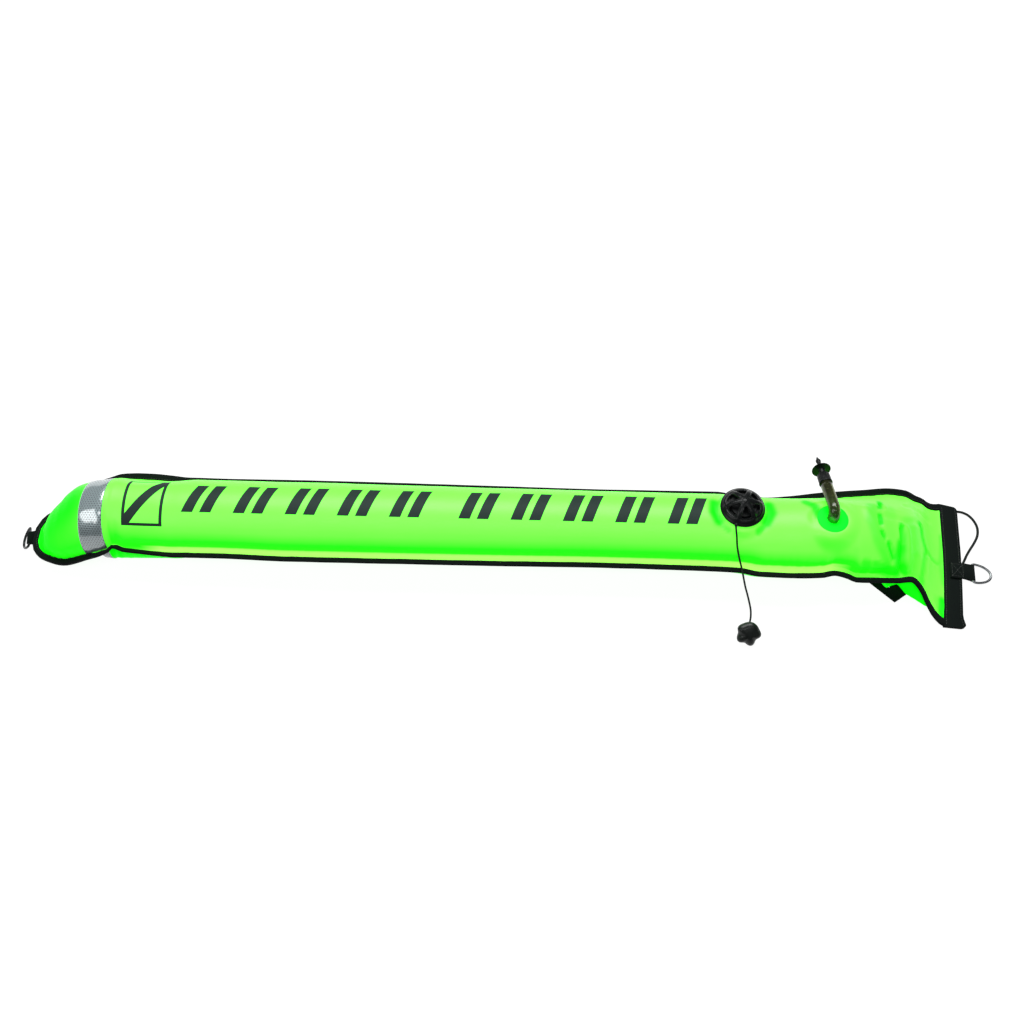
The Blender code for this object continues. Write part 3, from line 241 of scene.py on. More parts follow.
# Painted shade on the front cloth: in its folds, round the fittings' caps and over the top end's
# nose. Each has (x, y) points, half width and share.
PAINTED_SHADES_MM = (
    (((521, 41), (515, 25)), 4.6, 1.0),
    (((513, 12), (513, 0)), 4.4, 1.0),
    (((513, -13), (515.5, -18)), 4.4, 0.95),
    (((523, -27), (530, -39)), 5.0, 1.0),
    (((545, 2), (545, -10), (544, -26)), 5.6, 0.9),
    (((543, -24), (540.5, -36), (541, -47)), 9.0, 1.0),
    (((584, 22), (585, 4), (590, -11)), 6.0, 0.95),
    (((590, -11), (582, -42), (579, -58)), 5.5, 0.6),
    (((591, -9), (615, -16)), 3.6, 0.5),
    (((613, -74), (610, -99)), 6.5, 1.0),
    (((630, 30), (627, 10), (623, -12)), 4.0, 0.5),
    (((624, -12), (623, -45)), 7.0, 0.45),
    (((562, 5), (562, -45)), 15.0, 0.38),
    (((530, 25), (527, -15)), 10.0, 0.22),
    (((505, 27), (500, 1), (508, -24), (523, -43)), 9.0, 0.5),
    (((490, -50), (497, -50)), 4.0, 0.7),
    (((505, -49), (518, -49.5), (531, -53)), 3.5, 0.7),
    (((-655, -14), (-612, 3)), 46.0, 1.0),
    (((286.5, 20), (284.5, 4), (290, -9)), 8.0, 1.0),
    (((290, -11), (303, -21)), 3.8, 0.6),
    (((361.5, 22), (363.5, 7), (355, -9)), 8.0, 1.0),
    (((355, -11), (343, -22)), 4.5, 0.85),
    (((413, 28), (424, 17), (427, 3)), 6.5, 0.95),
)

# Dimples beside the fittings: centre, radius, width, depth and direction
DIMPLES_MM = (
    (VALVE, 37, 6.0, 5.0, 200), (VALVE, 36, 6.0, 5.0, -22), (INFLATOR, 26, 6.0, 5.0, 140),
)

# Gathers beside the seams: their depth along the bag, by x, the noise's seeds for the front (True)
# and back panel at its near and far seam, and the long waves of the cloth's slack
PUCKER_DEPTH_MM = (
    (-664, 0.2), (-650, 1.5), (-600, 1.5), (-560, 1.0), (-480, 0.45), (180, 0.4), (280, 0.7),
    (380, 1.1), (460, 1.8), (560, 1.6), (600, 1.0), (618, 0.0),
)
SEAM_EASE_MM = 3.0
GATHER_SEEDS = {True: (1.7, 9.3), False: (5.1, 13.9)}
GATHER_LENGTH_MM = 45
GATHER_SHARPNESS = 0.16
GATHER_LEVEL = 0.25
SLACK_MM = 0.45
SLACK_EASE_MM = 20
SLACK_PITCH_MM = (70, 40)
SLACK_SEEDS = {True: 3.3, False: 8.8}

# How flat the front's far shoulder lies, from 0 to 1 by x, and how far the back's near side swells
SHOULDER_EASE = (
    (-575, 0.0), (-552, 0.35), (-530, 0.8), (-508, 1.0), (-480, 0.75), (-455, 0.4), (-430, 0.15),
    (-400, 0.15), (200, 0.2), (300, 0.26), (322, 0.14), (345, 0.0), (375, 0.05),
    (400, 0.25), (430, 0.5), (455, 0.75), (480, 0.95), (560, 0.9), (600, 0.4), (615, 0.0),
)
SHOULDER_START = 0.62
SHOULDER_KNEE = 0.2
BACK_SWELL_MM = (
    (-566, 0), (-560, 6.3), (-552, 7.9), (-548, 9.1), (-543, 12.7), (-535, 11.1), (-530, 9.4),
    (-520, 7.7), (-510, 7.5), (-490, 5.6), (-470, 3.2), (-450, 1.3), (-430, 0), (500, 0),
    (510, 4.5), (520, 7.3), (525, 9), (530, 17.5), (535, 24), (540, 22), (545, 20.5),
    (550, 20), (555, 25), (560, 32), (565, 39), (570, 43), (575, 46), (585, 48),
    (590, 49), (595, 45.4), (600, 38.5), (605, 25), (610, 0),
)
BACK_SWELL_END = 0.45
LEAST_BULGE = 0.05 * MM

# The tube's middle, across and up, and its radius, for the print's place round the bag
TUBE_CENTRE_MM = (3.0, 48.4)
TUBE_RADIUS_MM = 58.6

# The edge tape's section: share of its inner reach, or reach outward, and height from the edge
BINDING_INNER_MM = ((1.0, 0.9), (0.97, 1.35), (0.85, 1.7), (0.5, 1.95), (0.1, 2.0))
BINDING_OUTER_MM = ((0.5, 1.75), (1.0, 1.0))
# The tape's inner reach, outer reach and thickness factor along each side, by x
NEAR_BINDING_MM = (
    (-672, 7.0, 1.1, 1.2), (-655, 8.0, 1.2, 1.5), (-620, 9.0, 1.4, 1.9), (-590, 8.4, 1.2, 1.5),
    (-565, 6.6, 1.0, 1.0), (-430, 6.4, 1.0, 1.0), (540, 6.6, 1.1, 1.0), (575, 7.0, 2.4, 1.2),
    (600, 7.2, 3.4, 1.2), (616, 7.2, 5.6, 1.2),
)
FAR_BINDING_MM = (
    (-672, 6.8, 1.1, 1.0), (-575, 6.6, 1.1, 1.0), (-545, 8.2, 1.3, 1.1), (-480, 8.2, 1.3, 1.1),
    (-440, 6.6, 1.1, 1.5), (290, 6.6, 1.1, 1.5), (335, 6.6, 1.1, 0.7), (380, 6.6, 1.1, 0.8),
    (450, 8.6, 1.4, 1.0), (600, 8.8, 1.4, 1.0), (625, 9.6, 1.2, 1.0),
)
# The row of stitches on the tape: share of its inner reach, and height from the edge
BINDING_SEAM_MM = (0.72, 1.82)
# The tape's step along the edge, its gaps to the mouth's stations and to the hem, and how its lip
# wavers
BINDING_STEP, BINDING_END_GAP, BINDING_HEM_GAP = 5 * MM, 1.5 * MM, 0.2 * MM
LIP_WAVER = 0.06

# How the hem's near end bends: it swings back from SWING_START over SWING_LENGTH, less at the
# outer edge, and its outer corner flares out
SWING, SWING_START, SWING_LENGTH = 3.4 * MM, 10 * MM, 91 * MM
SWING_INNER_X, SWING_WIDTH, SWING_LOSS = 617 * MM, 25 * MM, 0.3
FLARE, FLARE_START, FLARE_LENGTH = 4.0 * MM, -98 * MM, 12 * MM

# The hem's two rows of stitches, from its middle, and the box of them with its diagonals on the
# lower tab: its corners outward from the ring's bar and sideways, and pairs of corners
HEM_SEAMS_MM = (-9.6, 9.4)
BOX_CORNERS_MM = ((-14.5, -9.5), (-14.5, 9.5), (-29.5, 9.5), (-29.5, -9.5))
BOX_SEAMS = ((0, 1), (1, 2), (2, 3), (3, 0), (0, 2), (1, 3))

# A webbing strip's section: shares of its width and thickness
STRIP_SECTION = ((-0.5, -0.3), (-0.49, -0.5), (0.49, -0.5), (0.5, -0.3),
                 (0.5, 0.3), (0.49, 0.5), (-0.49, 0.5), (-0.5, 0.3))

# A stitch's sides, its width along it, and the thread's radius and sink: on webbing and on the
# edge tape. Then the length and gap of the box's stitches.
STITCH_SIDES = 6
STITCH_PROFILE = ((0.0, 0.35), (0.22, 0.9), (0.78, 0.9), (1.0, 0.35))
THREAD = (0.3 * MM, 0.1 * MM)
TAPE_THREAD = (0.28 * MM, 0.08 * MM)
BOX_STITCH = (2.2 * MM, 0.7 * MM)

# The stow strap's legs, folded over each other: name, outline, height, direction and CAD nodes
STRAP_THICKNESS_MM = 0.75
STRAP_LEGS_MM = (
    ("strap_leg_left", ((491, -21.5), (548, -76), (557, -70), (544, -53), (511, -21.5)), 0.0,
     (0.72, -0.69), ("stow_strap",)),
    ("strap_leg_right", ((548, -76), (566, -63.6), (542, -21.5), (527, -21.5), (544, -53),
                         (537, -65.5)), 0.75, (0.4, -0.92), ()),
)

# The print on the front: a box with a corner stripe, by its x and its place round the bag, and two
# groups of five pairs of slanted bars, by the groups' starts and pitches and the pair's edges
FLAG_BOX_MM = (-523.0, -466.5, -41.5, 41.5)
FLAG_LINE_MM = 4.6
FLAG_STRIPE_MM = 13.5
BARS_LOW_MM, BARS_HIGH_MM, BARS_SLANT = -19.5, 27.6, 0.35
BAR_GROUPS_MM = ((-434.2, 70.9), (-56.2, 70.75))
BAR_PAIR_MM = (0.0, 16.0, 25.0, 41.0)
BAR_MARGIN_MM = 5
PAIRS_IN_GROUP = 5

# The direction in which the cloth is painted palest, as if lit from there, and the share of that
# painted light that is left where the cloth turns away. This is painted light and shade by the way
# the cloth faces.
LIT_SIDE = (0.44, 0.1, 0.89)
LEAST_LIT = 0.12

# The painted bright strip of cloth beside the near seam, a painted highlight where the glow is four
# times the lit colour: its place round the bag and along it
STRIP_MM = (-79.0, -83.0)
STRIP_LENGTH_MM = (-490, 462, 14)

# The cap's dome from its middle outward, and its skirt down and back up inside: radius, height
DOME_MM = (
    (0, 21.5), (3.5, 21.35), (5.5, 20.9), (7.5, 20.1), (11, 18.9), (15, 17.1), (18.5, 15.1),
    (21, 13.2), (23, 11.4), (24.2, 10.2), (25, 9.3),
)
SKIRT_MM = (
    (23.6, 10.5), (24.4, 10.0), (25.0, 9.2), (25.8, 7.9), (27.4, 5.6), (29.0, 3.8), (30.1, 3.0),
    (30.5, 2.2), (30.5, 1.1), (28.4, 1.1), (28.3, 4.4), (24.2, 6.8), (23.2, 8.2),
)
# A window on its own axis: along the rib's side and round the outer edge, and how far and how
# deep its edge rolls inward. Then the radii between which its sector of the dome lies.
WINDOW_MM = ((7.0, 0.8), (8.0, 1.7), (13, 4.7), (18.6, 7.7), (21.2, 7.0), (22.6, 4.0), (22.9, 1.4))
WINDOW_MIDDLE_MM = 15.2
WINDOW_EDGE_MM = ((0.0, 0.0), (0.3, 0.08), (0.75, 0.45), (1.15, 1.15), (1.3, 2.7))
WINDOW_SHARES = (1.0, 0.7, 0.42, 0.2, 0.07)
DOME_OUTER_MM, DOME_INNER_MM = 24.2, 4.0
# How far round the cap its first rib stands, the ribs' crown and the rim's dips between them:
# height or depth, and width. Then the radius where the dips start, and how soon they are full.
CAP_TURN = 5.0
RIB_CROWN_MM = (0.5, 1.8)
RIM_DIP_MM = (2.0, 3.4)
DIP_START_MM, DIP_RUN_MM = 18, 5
# The ribs' swell on the skirt: its size and width, lowest and highest edge, and least radius
RIB_SWELL_MM = (0.55, 2.2)
SWELL_LOW_MM, SWELL_HIGH_MM, SWELL_RADIUS_MM = 3.5, 9.6, 24.6

# Turned parts: the cap's hub, the cord's grommet and the inflator's base, collar and mouthpiece
HUB_MM = (
    (0.0, 22.2), (1.5, 22.1), (2.9, 21.8), (3.9, 21.35), (4.4, 20.6), (4.5, 16.8), (0.0, 16.8),
)
GROMMET_SINK = 4.6 * MM
GROMMET_MM = (
    (1.6, 0.0), (2.1, 0.0), (2.2, 0.6), (2.2, 3.6), (2.0, 4.2), (1.7, 4.3), (1.45, 4.0),
    (1.45, 0.5),
)
FLANGE_MM = (
    (8.3, 2.2), (8.8, 2.3), (9.6, 2.1), (10.6, 1.8), (12.5, 1.6), (17.0, 1.3), (20.0, 1.0),
    (20.8, 0.85), (21.0, 0.7), (8.3, 0.7),
)
COLLAR_MM = (
    (7.65, 17.0), (8.1, 17.1), (8.5, 16.6), (8.7, 15.0), (8.75, 4.4), (8.6, 3.6), (8.75, 3.1),
    (9.1, 2.9), (9.2, 2.4), (9.2, 1.0), (9.0, 0.6), (7.65, 0.6),
)
STEM_MM = (
    (0.0, 54.0), (0.9, 53.8), (1.4, 52.8), (1.9, 50.2), (3.0, 48.6), (3.5, 47.2), (3.5, 45.2),
    (3.1, 44.0), (2.6, 41.0), (2.5, 38.0), (3.0, 34.0), (4.0, 31.2), (6.0, 29.9), (11.0, 29.5),
    (12.6, 29.2), (13.0, 28.6), (12.9, 28.0), (12.2, 27.8), (7.0, 28.0), (4.9, 27.2), (4.2, 26.0),
    (4.2, 15.4), (2.2, 15.2), (2.2, -11.6), (5.0, -11.7), (5.0, -13.2), (0.0, -13.2),
)

# The collar's flutes: depth, lowest and highest edge, and the radius inside which it is plain
FLUTES_MM = (0.35, 3.4, 16.8, 8.4)

# The five-lobed knob: its foot, tilt, phase and how much fuller its cord side is
KNOB_FOOT_MM = (336, -125.5, 4.5)
KNOB_TILT = 45
KNOB_LOBES = 5
KNOB_PHASE = 71
KNOB_CORD_SIDE = 0.85
KNOB_RINGS = 32
KNOB_STEPS = 90

# The two coil springs: radius, wire, number of turns, low end and high end
VALVE_COIL_MM = (4.6, 0.9, 3, 9.15, 16.15)
INFLATOR_COIL_MM = (3.4, 0.6, 7, -6.1, 14.7)

# The elbow tube's bend radius, straight length and wall
TUBE_BEND = 10 * MM
TUBE_LENGTH = 43 * MM
TUBE_WALL = 2 * MM

# Lamps: where they stand, their sizes and the names of their settings
LAMPS = (
    ("lamp_over", (0.0, 1.3, 2.4), (3.0, 1.3), "over_power"),
    ("lamp_front", (0.5, -2.2, 1.4), (1.6, 0.5), "front_power"),
    ("lamp_strip", (0.0, -0.95, 2.3), (2.6, 0.22), "strip_power"),
    ("lamp_tape", (-2.35, -1.25, 2.1), (2.1, 0.9), "tape_power"),
)
LAMP_TARGET = (0, 0, 0.05)
SENSOR_WIDTH = 36.0
FLOOR_HALF = 12.0
FLOOR_LEVEL = -0.0004


def clamp(value):
    """A number held between 0 and 1."""
    return min(max(value, 0.0), 1.0)


def eased(value):
    """A share held between 0 and 1, level at both ends."""
    t = clamp(value)
    return t * t * (3 - 2 * t)


def pchip(table, key):
    """Read a table of rows at a key, smoothly and without overshoot."""
    keys = [row[0] for row in table]
    if key <= keys[0]:
        return table[0]
    if key >= keys[-1]:
        return table[-1]
    i = max(n for n in range(len(keys) - 1) if keys[n] <= key)
    span = keys[i + 1] - keys[i]
    t = (key - keys[i]) / span

    def slope(n, column):
        if n == 0 or n == len(keys) - 1:
            return 0.0
        before = (table[n][column] - table[n - 1][column]) / (keys[n] - keys[n - 1])
        after = (table[n + 1][column] - table[n][column]) / (keys[n + 1] - keys[n])
        return 2 * before * after / (before + after) if before * after > 0 else 0.0

    values = []
    for column in range(len(table[0])):
        a, b = table[i][column], table[i + 1][column]
        da, db = slope(i, column) * span, slope(i + 1, column) * span
        values.append(a + t * da + t * t * (3 * (b - a) - 2 * da - db)
                      + t ** 3 * (2 * (a - b) + da + db))
    return values


def hem_line(offset):
    """Ends of the line that lies this far inside the hem's outer edge, near end first."""
    return (Vector((*HEM_NEAR_END, 0)) - HEM_ACROSS * offset,
            Vector((*HEM_FAR_END, 0)) - HEM_ACROSS * offset)


HEM_ALONG = (Vector((*HEM_FAR_END, 0)) - Vector((*HEM_NEAR_END, 0))).normalized()
HEM_ACROSS = Vector((HEM_ALONG.y, -HEM_ALONG.x, 0))
HEM_STACK = 2 * (HEM_THICKNESS + FIT_GAP + CLOTH) + SEAM_GAP
HEM_MIDDLE = HEM_STACK / 2


def station_table():
    """All rows in metres: the top end, the straight tube, the mouth end and the hem."""
    height, rise, drop = STRAIGHT_SECTION_MM
    rows = [(x, x, x, *rest) for x, *rest in TOP_END_MM]
    rows += [(x, x, x, near, height, far, height, rise, drop) for x, near, far in STRAIGHT_MM]
    rows = [tuple(value * MM for value in row) for row in (*rows, *MOUTH_END_MM)]
    for key, offset, pull in HEM_ROWS_MM:
        near, far = hem_line(offset * MM)
        rows.append((key * MM, near.x, far.x, near.y, HEM_MIDDLE, far.y - pull * MM, HEM_MIDDLE,
                     0.0, 0.0))
    return rows


STATIONS = station_table()

# The fittings' flat seats: middle, height, radius that is all flat and radius where it ends
SEATS = (
    (VALVE.x, VALVE.y - 4.5 * MM, VALVE.z, 31 * MM, 39 * MM),
    (INFLATOR.x, INFLATOR.y, INFLATOR.z, 22 * MM, 41 * MM),
)


def seat_shares(point):
    """How much of a point belongs to each fitting's flat seat, from 0 to 1."""
    return [eased((outer - math.hypot(point.x - x, point.y - y)) / (outer - inner))
            for x, y, _, inner, outer in SEATS]


def flange_insets(key, width):
    """Distances from the two edges to their seams across the bag, longer where an edge slants."""
    before, after = pchip(STATIONS, key - SLANT_REACH), pchip(STATIONS, key + SLANT_REACH)
    insets = []
    for x, y in ((1, 3), (2, 5)):
        run = max(abs(after[x] - before[x]), 1 * MM)
        slant = min(math.hypot(1.0, (after[y] - before[y]) / run), LARGEST_SLANT)
        insets.append(min(FLANGE_WIDTH * slant, LARGEST_INSET * width))
    return insets


def bag_edges(key):
    """The bag's near and far outer edges at a key, and the seams inside them."""
    row = pchip(STATIONS, key)
    near = Vector((row[1], row[3], row[4]))
    far = Vector((row[2], row[5], row[6]))
    _, inward, down = pchip(FAR_DROP_MM, key / MM)
    far -= Vector((0, inward, down)) * MM
    across = (far - near).normalized()
    rise = (UP - across * across.z).normalized()
    near_tilt = math.radians(pchip(NEAR_TILT, key / MM)[1])
    far_tilt = math.radians(pchip(FAR_TILT, key / MM)[1])
    near_inset, far_inset = flange_insets(key, (far - near).length)
    seam_near = near + near_inset * (across * math.cos(near_tilt) - rise * math.sin(near_tilt))
    seam_far = far - far_inset * (across * math.cos(far_tilt) + rise * math.sin(far_tilt))
    return near, far, seam_near, seam_far


def panel_row(key, upper, lift, shares, sag=1.0, flange=True):
    """Points across one panel at a key, at shares of the arc from the near seam to the far."""
    row = pchip(STATIONS, key)
    near, far, seam_near, seam_far = bag_edges(key)
    side = 1 if upper else -1
    level = Vector((0, 0, side * (SEAM_GAP / 2 + lift)))
    across = (seam_far - seam_near).normalized()
    up = (UP - across * across.z).normalized() * side
    half = (seam_far - seam_near).length / 2
    bulge = max((row[7] if upper else row[8]) * sag, 0.0)
    middle = (seam_near + seam_far) / 2 + Vector((0, 0, side * SEAM_GAP / 2))
    points = []
    for share in shares:
        if bulge < LEAST_BULGE:
            point = middle + across * half * (2 * share - 1) + up * lift
        else:
            radius = (half * half + bulge * bulge) / (2 * bulge)
            angle = (2 * share - 1) * 2 * math.atan(bulge / half)
            reach = radius + lift
            point = (middle + up * (bulge - radius)
                     + up * reach * math.cos(angle) + across * reach * math.sin(angle))
        points.append(point)
    if upper:
        ease_shoulder(points, shares, seam_far + level, pchip(SHOULDER_EASE, key / MM)[1])
        if flange:
            ease_foot(points, shares, seam_near + level, across, up, key)
    else:
        swell = pchip(BACK_SWELL_MM, key / MM)[1] * MM * sag
        for share, point in zip(shares, points):
            arc = math.pi * min(share / BACK_SWELL_END, 1.0)
            point -= across * swell * math.sin(arc) ** 1.2
    for point in points:
        if upper:
            for (_, _, plane, _, _), part in zip(SEATS, seat_shares(point)):
                point.z += part * (plane + lift - point.z)
        else:
            point.z = max(point.z, CLOTH - lift)
    if flange:
        points = [near + level, near.lerp(seam_near, 0.5) + level] + points
        points += [far.lerp(seam_far, 0.5) + level, far + level]
    return points


def ease_shoulder(points, shares, end, amount):
    """Let the front's far shoulder fall more evenly to its seam."""
    first = next((i for i, share in enumerate(shares) if share >= SHOULDER_START), None)
    if amount <= 0 or not first:
        return
    start = points[first].copy()
    aim = (points[first] - points[first - 1]).normalized()
    knee = start + aim * SHOULDER_KNEE * (end - start).length
    for i in range(first, len(points)):
        t = (shares[i] - shares[first]) / (1 - shares[first])
        fall = start * (1 - t) ** 2 + knee * 2 * t * (1 - t) + end * t * t
        points[i] += (fall - points[i]) * amount


def ease_foot(points, shares, start, across, up, key):
    """Let the front leave the near seam flat before its side rises."""
    amount = pchip(FOOT_AMOUNT, key / MM)[1]
    for i, share in enumerate(shares):
        if share >= FOOT_MM[-1][0] or amount <= 0:
            break
        _, inward, rise = pchip(FOOT_MM, share)
        foot = start + across * inward * MM + up * rise * MM
        fade = 1 - eased((share - FOOT_FADE) / FOOT_FADE)
        points[i] += (foot - points[i]) * amount * fade


def line_distance(x, y, line):
    """How far a plan point lies from a line of plan points."""
    best = math.inf
    for (ax, ay), (bx, by) in zip(line, line[1:]):
        dx, dy = bx - ax, by - ay
        t = clamp(((x - ax) * dx + (y - ay) * dy) / (dx * dx + dy * dy))
        best = min(best, math.hypot(x - ax - t * dx, y - ay - t * dy))
    return best


def fold_depth(x, y):
    """Height of the mouth end's folds and ridges at a plan point, in millimetres."""
    height = 0.0
    for lines, sign in ((FOLDS_MM, -1), (RIDGES_MM, 1)):
        for line, depth, width in lines:
            distance = line_distance(x, y, line)
            if distance < 5 * width:
                depth *= FOLD_FACTOR
                height += sign * depth * math.exp(-(distance / width) ** 2)
                lip = (distance - LIP_PLACE * width) / width
                height -= sign * FOLD_LIP * depth * math.exp(-lip * lip)
    return height


def painted_shade_share(x, y):
    """How deep in painted shade a plan point of the front cloth lies, from 0 to 1."""
    share = 0.0
    for line, width, amount in PAINTED_SHADES_MM:
        distance = line_distance(x, y, line)
        if distance < 2 * width:
            share = max(share, amount * math.exp(-(distance / width) ** 4))
    return share


def pucker_height(point, near_reach, far_reach, upper, settings):
    """Height of the gathers beside both seams and of the cloth's slack, in millimetres."""
    x, y = point.x / MM, point.y / MM
    strength = pchip(PUCKER_DEPTH_MM, x)[1] * settings.pucker_depth
    pitch, spread = settings.pucker_pitch / MM, settings.pucker_reach / MM
    height = 0.0
    for reach, seed in zip((near_reach, far_reach), GATHER_SEEDS[upper]):
        value = noise.noise(Vector((x / pitch, reach / GATHER_LENGTH_MM, seed)))
        gather = math.exp(-(value / GATHER_SHARPNESS) ** 2) - GATHER_LEVEL
        height -= strength * gather * math.exp(-reach / spread) * min(reach / SEAM_EASE_MM, 1.0)
    edge_reach = min(near_reach, far_reach)
    ease = min(edge_reach / SLACK_EASE_MM, 1.0)
    wave = Vector((x / SLACK_PITCH_MM[0], y / SLACK_PITCH_MM[1], SLACK_SEEDS[upper]))
    height += SLACK_MM * ease * noise.noise(wave)
    if upper and x > FOLDS_FROM_MM:
        height += fold_depth(x, y) * min(edge_reach / FOLD_EASE_MM, 1.0)
    if upper:
        height *= 1 - min(sum(seat_shares(point)), 1.0)
        for centre, radius, width, depth, turn in DIMPLES_MM:
            dx, dy = x - centre.x / MM, y - centre.y / MM
            aside = 0.5 + 0.5 * math.cos(math.atan2(dy, dx) - math.radians(turn))
            ring = (math.hypot(dx, dy) - radius) / width
            height -= depth * aside ** 4 * math.exp(-ring * ring)
    return height


def cloth_grid(keys, shares, upper, lift, settings):
    """A panel's points with puckers and folds, as an array, with each point's plan."""
    rows = [panel_row(key, upper, lift, shares) for key in keys]
    grid = np.array([[tuple(point) for point in row] for row in rows])
    normal = np.cross(np.gradient(grid, axis=0), np.gradient(grid, axis=1))
    normal /= np.maximum(np.linalg.norm(normal, axis=2, keepdims=True), 1e-12)
    if not upper:
        normal = -normal
    steps = np.linalg.norm(np.diff(grid, axis=1), axis=2)
    reach = np.concatenate([np.zeros((len(keys), 1)), np.cumsum(steps, axis=1)], axis=1) / MM
    start, end = 2, len(shares) + 1
    for i in range(len(keys)):
        for j in range(start, end + 1):
            near_reach = reach[i, j] - reach[i, start]
            far_reach = reach[i, end] - reach[i, j]
            height = pucker_height(rows[i][j], near_reach, far_reach, upper, settings)
            grid[i, j] += normal[i, j] * height * MM
    if not upper:
        grid[..., 2] = np.maximum(grid[..., 2], 0.05 * MM)
    return grid, panel_plan(grid, upper)


def panel_plan(grid, upper):
    """Millimetres along the bag and round it from its top, and 1 on the front panel."""
    centre_y, centre_z = TUBE_CENTRE_MM
    plan = np.zeros_like(grid)
    plan[..., 0] = grid[..., 0] / MM
    angle = np.arctan2(grid[..., 1] / MM - centre_y, grid[..., 2] / MM - centre_z)
    plan[..., 1] = angle * TUBE_RADIUS_MM
    plan[..., 2] = 1.0 if upper else 0.0
    return plan


# Making pieces

def set_plan(mesh, plan):
    """Store each point's place on its own material, in millimetres, for the weave and print."""
    layer = mesh.attributes.new("plan", "FLOAT_VECTOR", "POINT")
    layer.data.foreach_set("vector", np.asarray(plan, dtype=np.float32).ravel())


def planned_mesh(points, faces, plan):
    """A mesh with each point's place on its own material. It is named when it is added."""
    mesh = bpy.data.meshes.new("piece")
    mesh.from_pydata(points, [], faces)
    set_plan(mesh, plan)
    return mesh


def link_object(name, data):
    """Put new data into the scene."""
    made = bpy.data.objects.new(name, data)
    bpy.context.scene.collection.objects.link(made)
    return made


def add_piece(name, mesh, surface, replaces=(), body="buoy", sharp=None):
    """Link a mesh as a piece that rides on a body and stands for CAD nodes."""
    mesh.name = name
    made = link_object(name, mesh)
    mesh.materials.append(surface)
    mesh.shade_smooth()
    if sharp:
        mesh.set_sharp_from_angle(angle=math.radians(sharp))
    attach(made, body)
    if replaces:
        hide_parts(*replaces)
    return made


def grid_mesh(grid, plan, flip):
    """A mesh of quads through a grid of points."""
    rows, width = grid.shape[:2]
    first = (np.arange(rows - 1)[:, None] * width + np.arange(width - 1)[None, :]).ravel()
    quads = np.stack([first, first + width, first + width + 1, first + 1], axis=1)
    if flip:
        quads = quads[:, ::-1]
    return planned_mesh(grid.reshape(-1, 3).tolist(), quads.tolist(), plan)


def sweep_faces(count, total, first=0, closed=False, capped=True):
    """Faces through a number of sections of equal count, whose points start at a first one."""
    faces = []
    for i in range(total if closed else total - 1):
        here, there = first + i * count, first + (i + 1) % total * count
        for j in range(count):
            k = (j + 1) % count
            faces.append((here + j, here + k, there + k, there + j))
    if capped and not closed:
        last = first + (total - 1) * count
        faces.append(tuple(first + j for j in reversed(range(count))))
        faces.append(tuple(last + j for j in range(count)))
    return faces


def swept_mesh(sections, closed=False, capped=True):
    """A mesh through closed sections of equal count along a path, with its plan."""
    count = len(sections[0])
    points = [point for section in sections for point in section]
    plan, along = [], 0.0
    for i, section in enumerate(sections):
        if i:
            along += (Vector(section[0]) - Vector(sections[i - 1][0])).length / MM
        around = 0.0
        for j in range(count):
            plan.append((along, around, 0.0))
            around += (Vector(section[(j + 1) % count]) - Vector(section[j])).length / MM
    return planned_mesh([tuple(point) for point in points],
                        sweep_faces(count, len(sections), closed=closed, capped=capped), plan)


def mesh_from(work, outward=True):
    """A new mesh from a bmesh, which is freed."""
    if outward:
        bmesh.ops.recalc_face_normals(work, faces=work.faces)
    mesh = bpy.data.meshes.new("piece")
    work.to_mesh(mesh)
    work.free()
    return mesh


def lathe_mesh(profile_mm, steps, place=Matrix.Identity(4)):
    """A turned mesh from (radius, height) rows down its outer side, closed where it meets Z."""
    work = bmesh.new()
    rings = []
    profile = [(radius * MM, height * MM) for radius, height in profile_mm]
    for radius, height in profile:
        if radius < 1e-7:
            rings.append([work.verts.new((0, 0, height))] * steps)
        else:
            rings.append([work.verts.new((radius * math.cos(2 * math.pi * j / steps),
                                          radius * math.sin(2 * math.pi * j / steps), height))
                          for j in range(steps)])
    open_ends = profile[0][0] > 1e-7 and profile[-1][0] > 1e-7
    pairs = list(zip(rings, rings[1:]))
    if open_ends:
        pairs.append((rings[-1], rings[0]))
    for upper, lower in pairs:
        for j in range(steps):
            k = (j + 1) % steps
            corners = []
            for corner in (upper[j], lower[j], lower[k], upper[k]):
                if corner not in corners:
                    corners.append(corner)
            if len(corners) > 2:
                work.faces.new(corners)
    mesh = mesh_from(work)
    mesh.transform(place)
    return mesh


def merged_mesh(meshes):
    """One mesh from several, which keep their own shapes."""
    work = bmesh.new()
    for mesh in meshes:
        work.from_mesh(mesh)
        bpy.data.meshes.remove(mesh)
    return mesh_from(work, False)


def round_edges(piece, width, segments):
    """Soften a piece's sharp edges so that they catch the light."""
    bevel = piece.modifiers.new("edges", "BEVEL")
    bevel.width = width
    bevel.segments = segments
    bevel.limit_method = "ANGLE"
    bevel.angle_limit = math.radians(35)
    bevel.harden_normals = False


def thicken(piece, name, thickness, offset):
    """Give a sheet a thickness, outward for an offset of 1 and inward for -1."""
    solid = piece.modifiers.new(name, "SOLIDIFY")
    solid.thickness = thickness
    solid.offset = offset


def plate_mesh(outline, low, high, place, plan_axes):
    """A flat plate from an outline in its own XY plane, between two heights."""
    work = bmesh.new()
    under = [work.verts.new((x, y, low)) for x, y in outline]
    over = [work.verts.new((x, y, high)) for x, y in outline]
    work.faces.new(list(reversed(under)))
    work.faces.new(over)
    count = len(outline)
    for j in range(count):
        k = (j + 1) % count
        work.faces.new((under[j], under[k], over[k], over[j]))
    mesh = mesh_from(work)
    x_axis, y_axis = plan_axes
    plan = [((v.co.x * x_axis[0] + v.co.y * x_axis[1]) / MM,
             (v.co.x * y_axis[0] + v.co.y * y_axis[1]) / MM, 0.0) for v in mesh.vertices]
    set_plan(mesh, plan)
    mesh.transform(place)
    return mesh


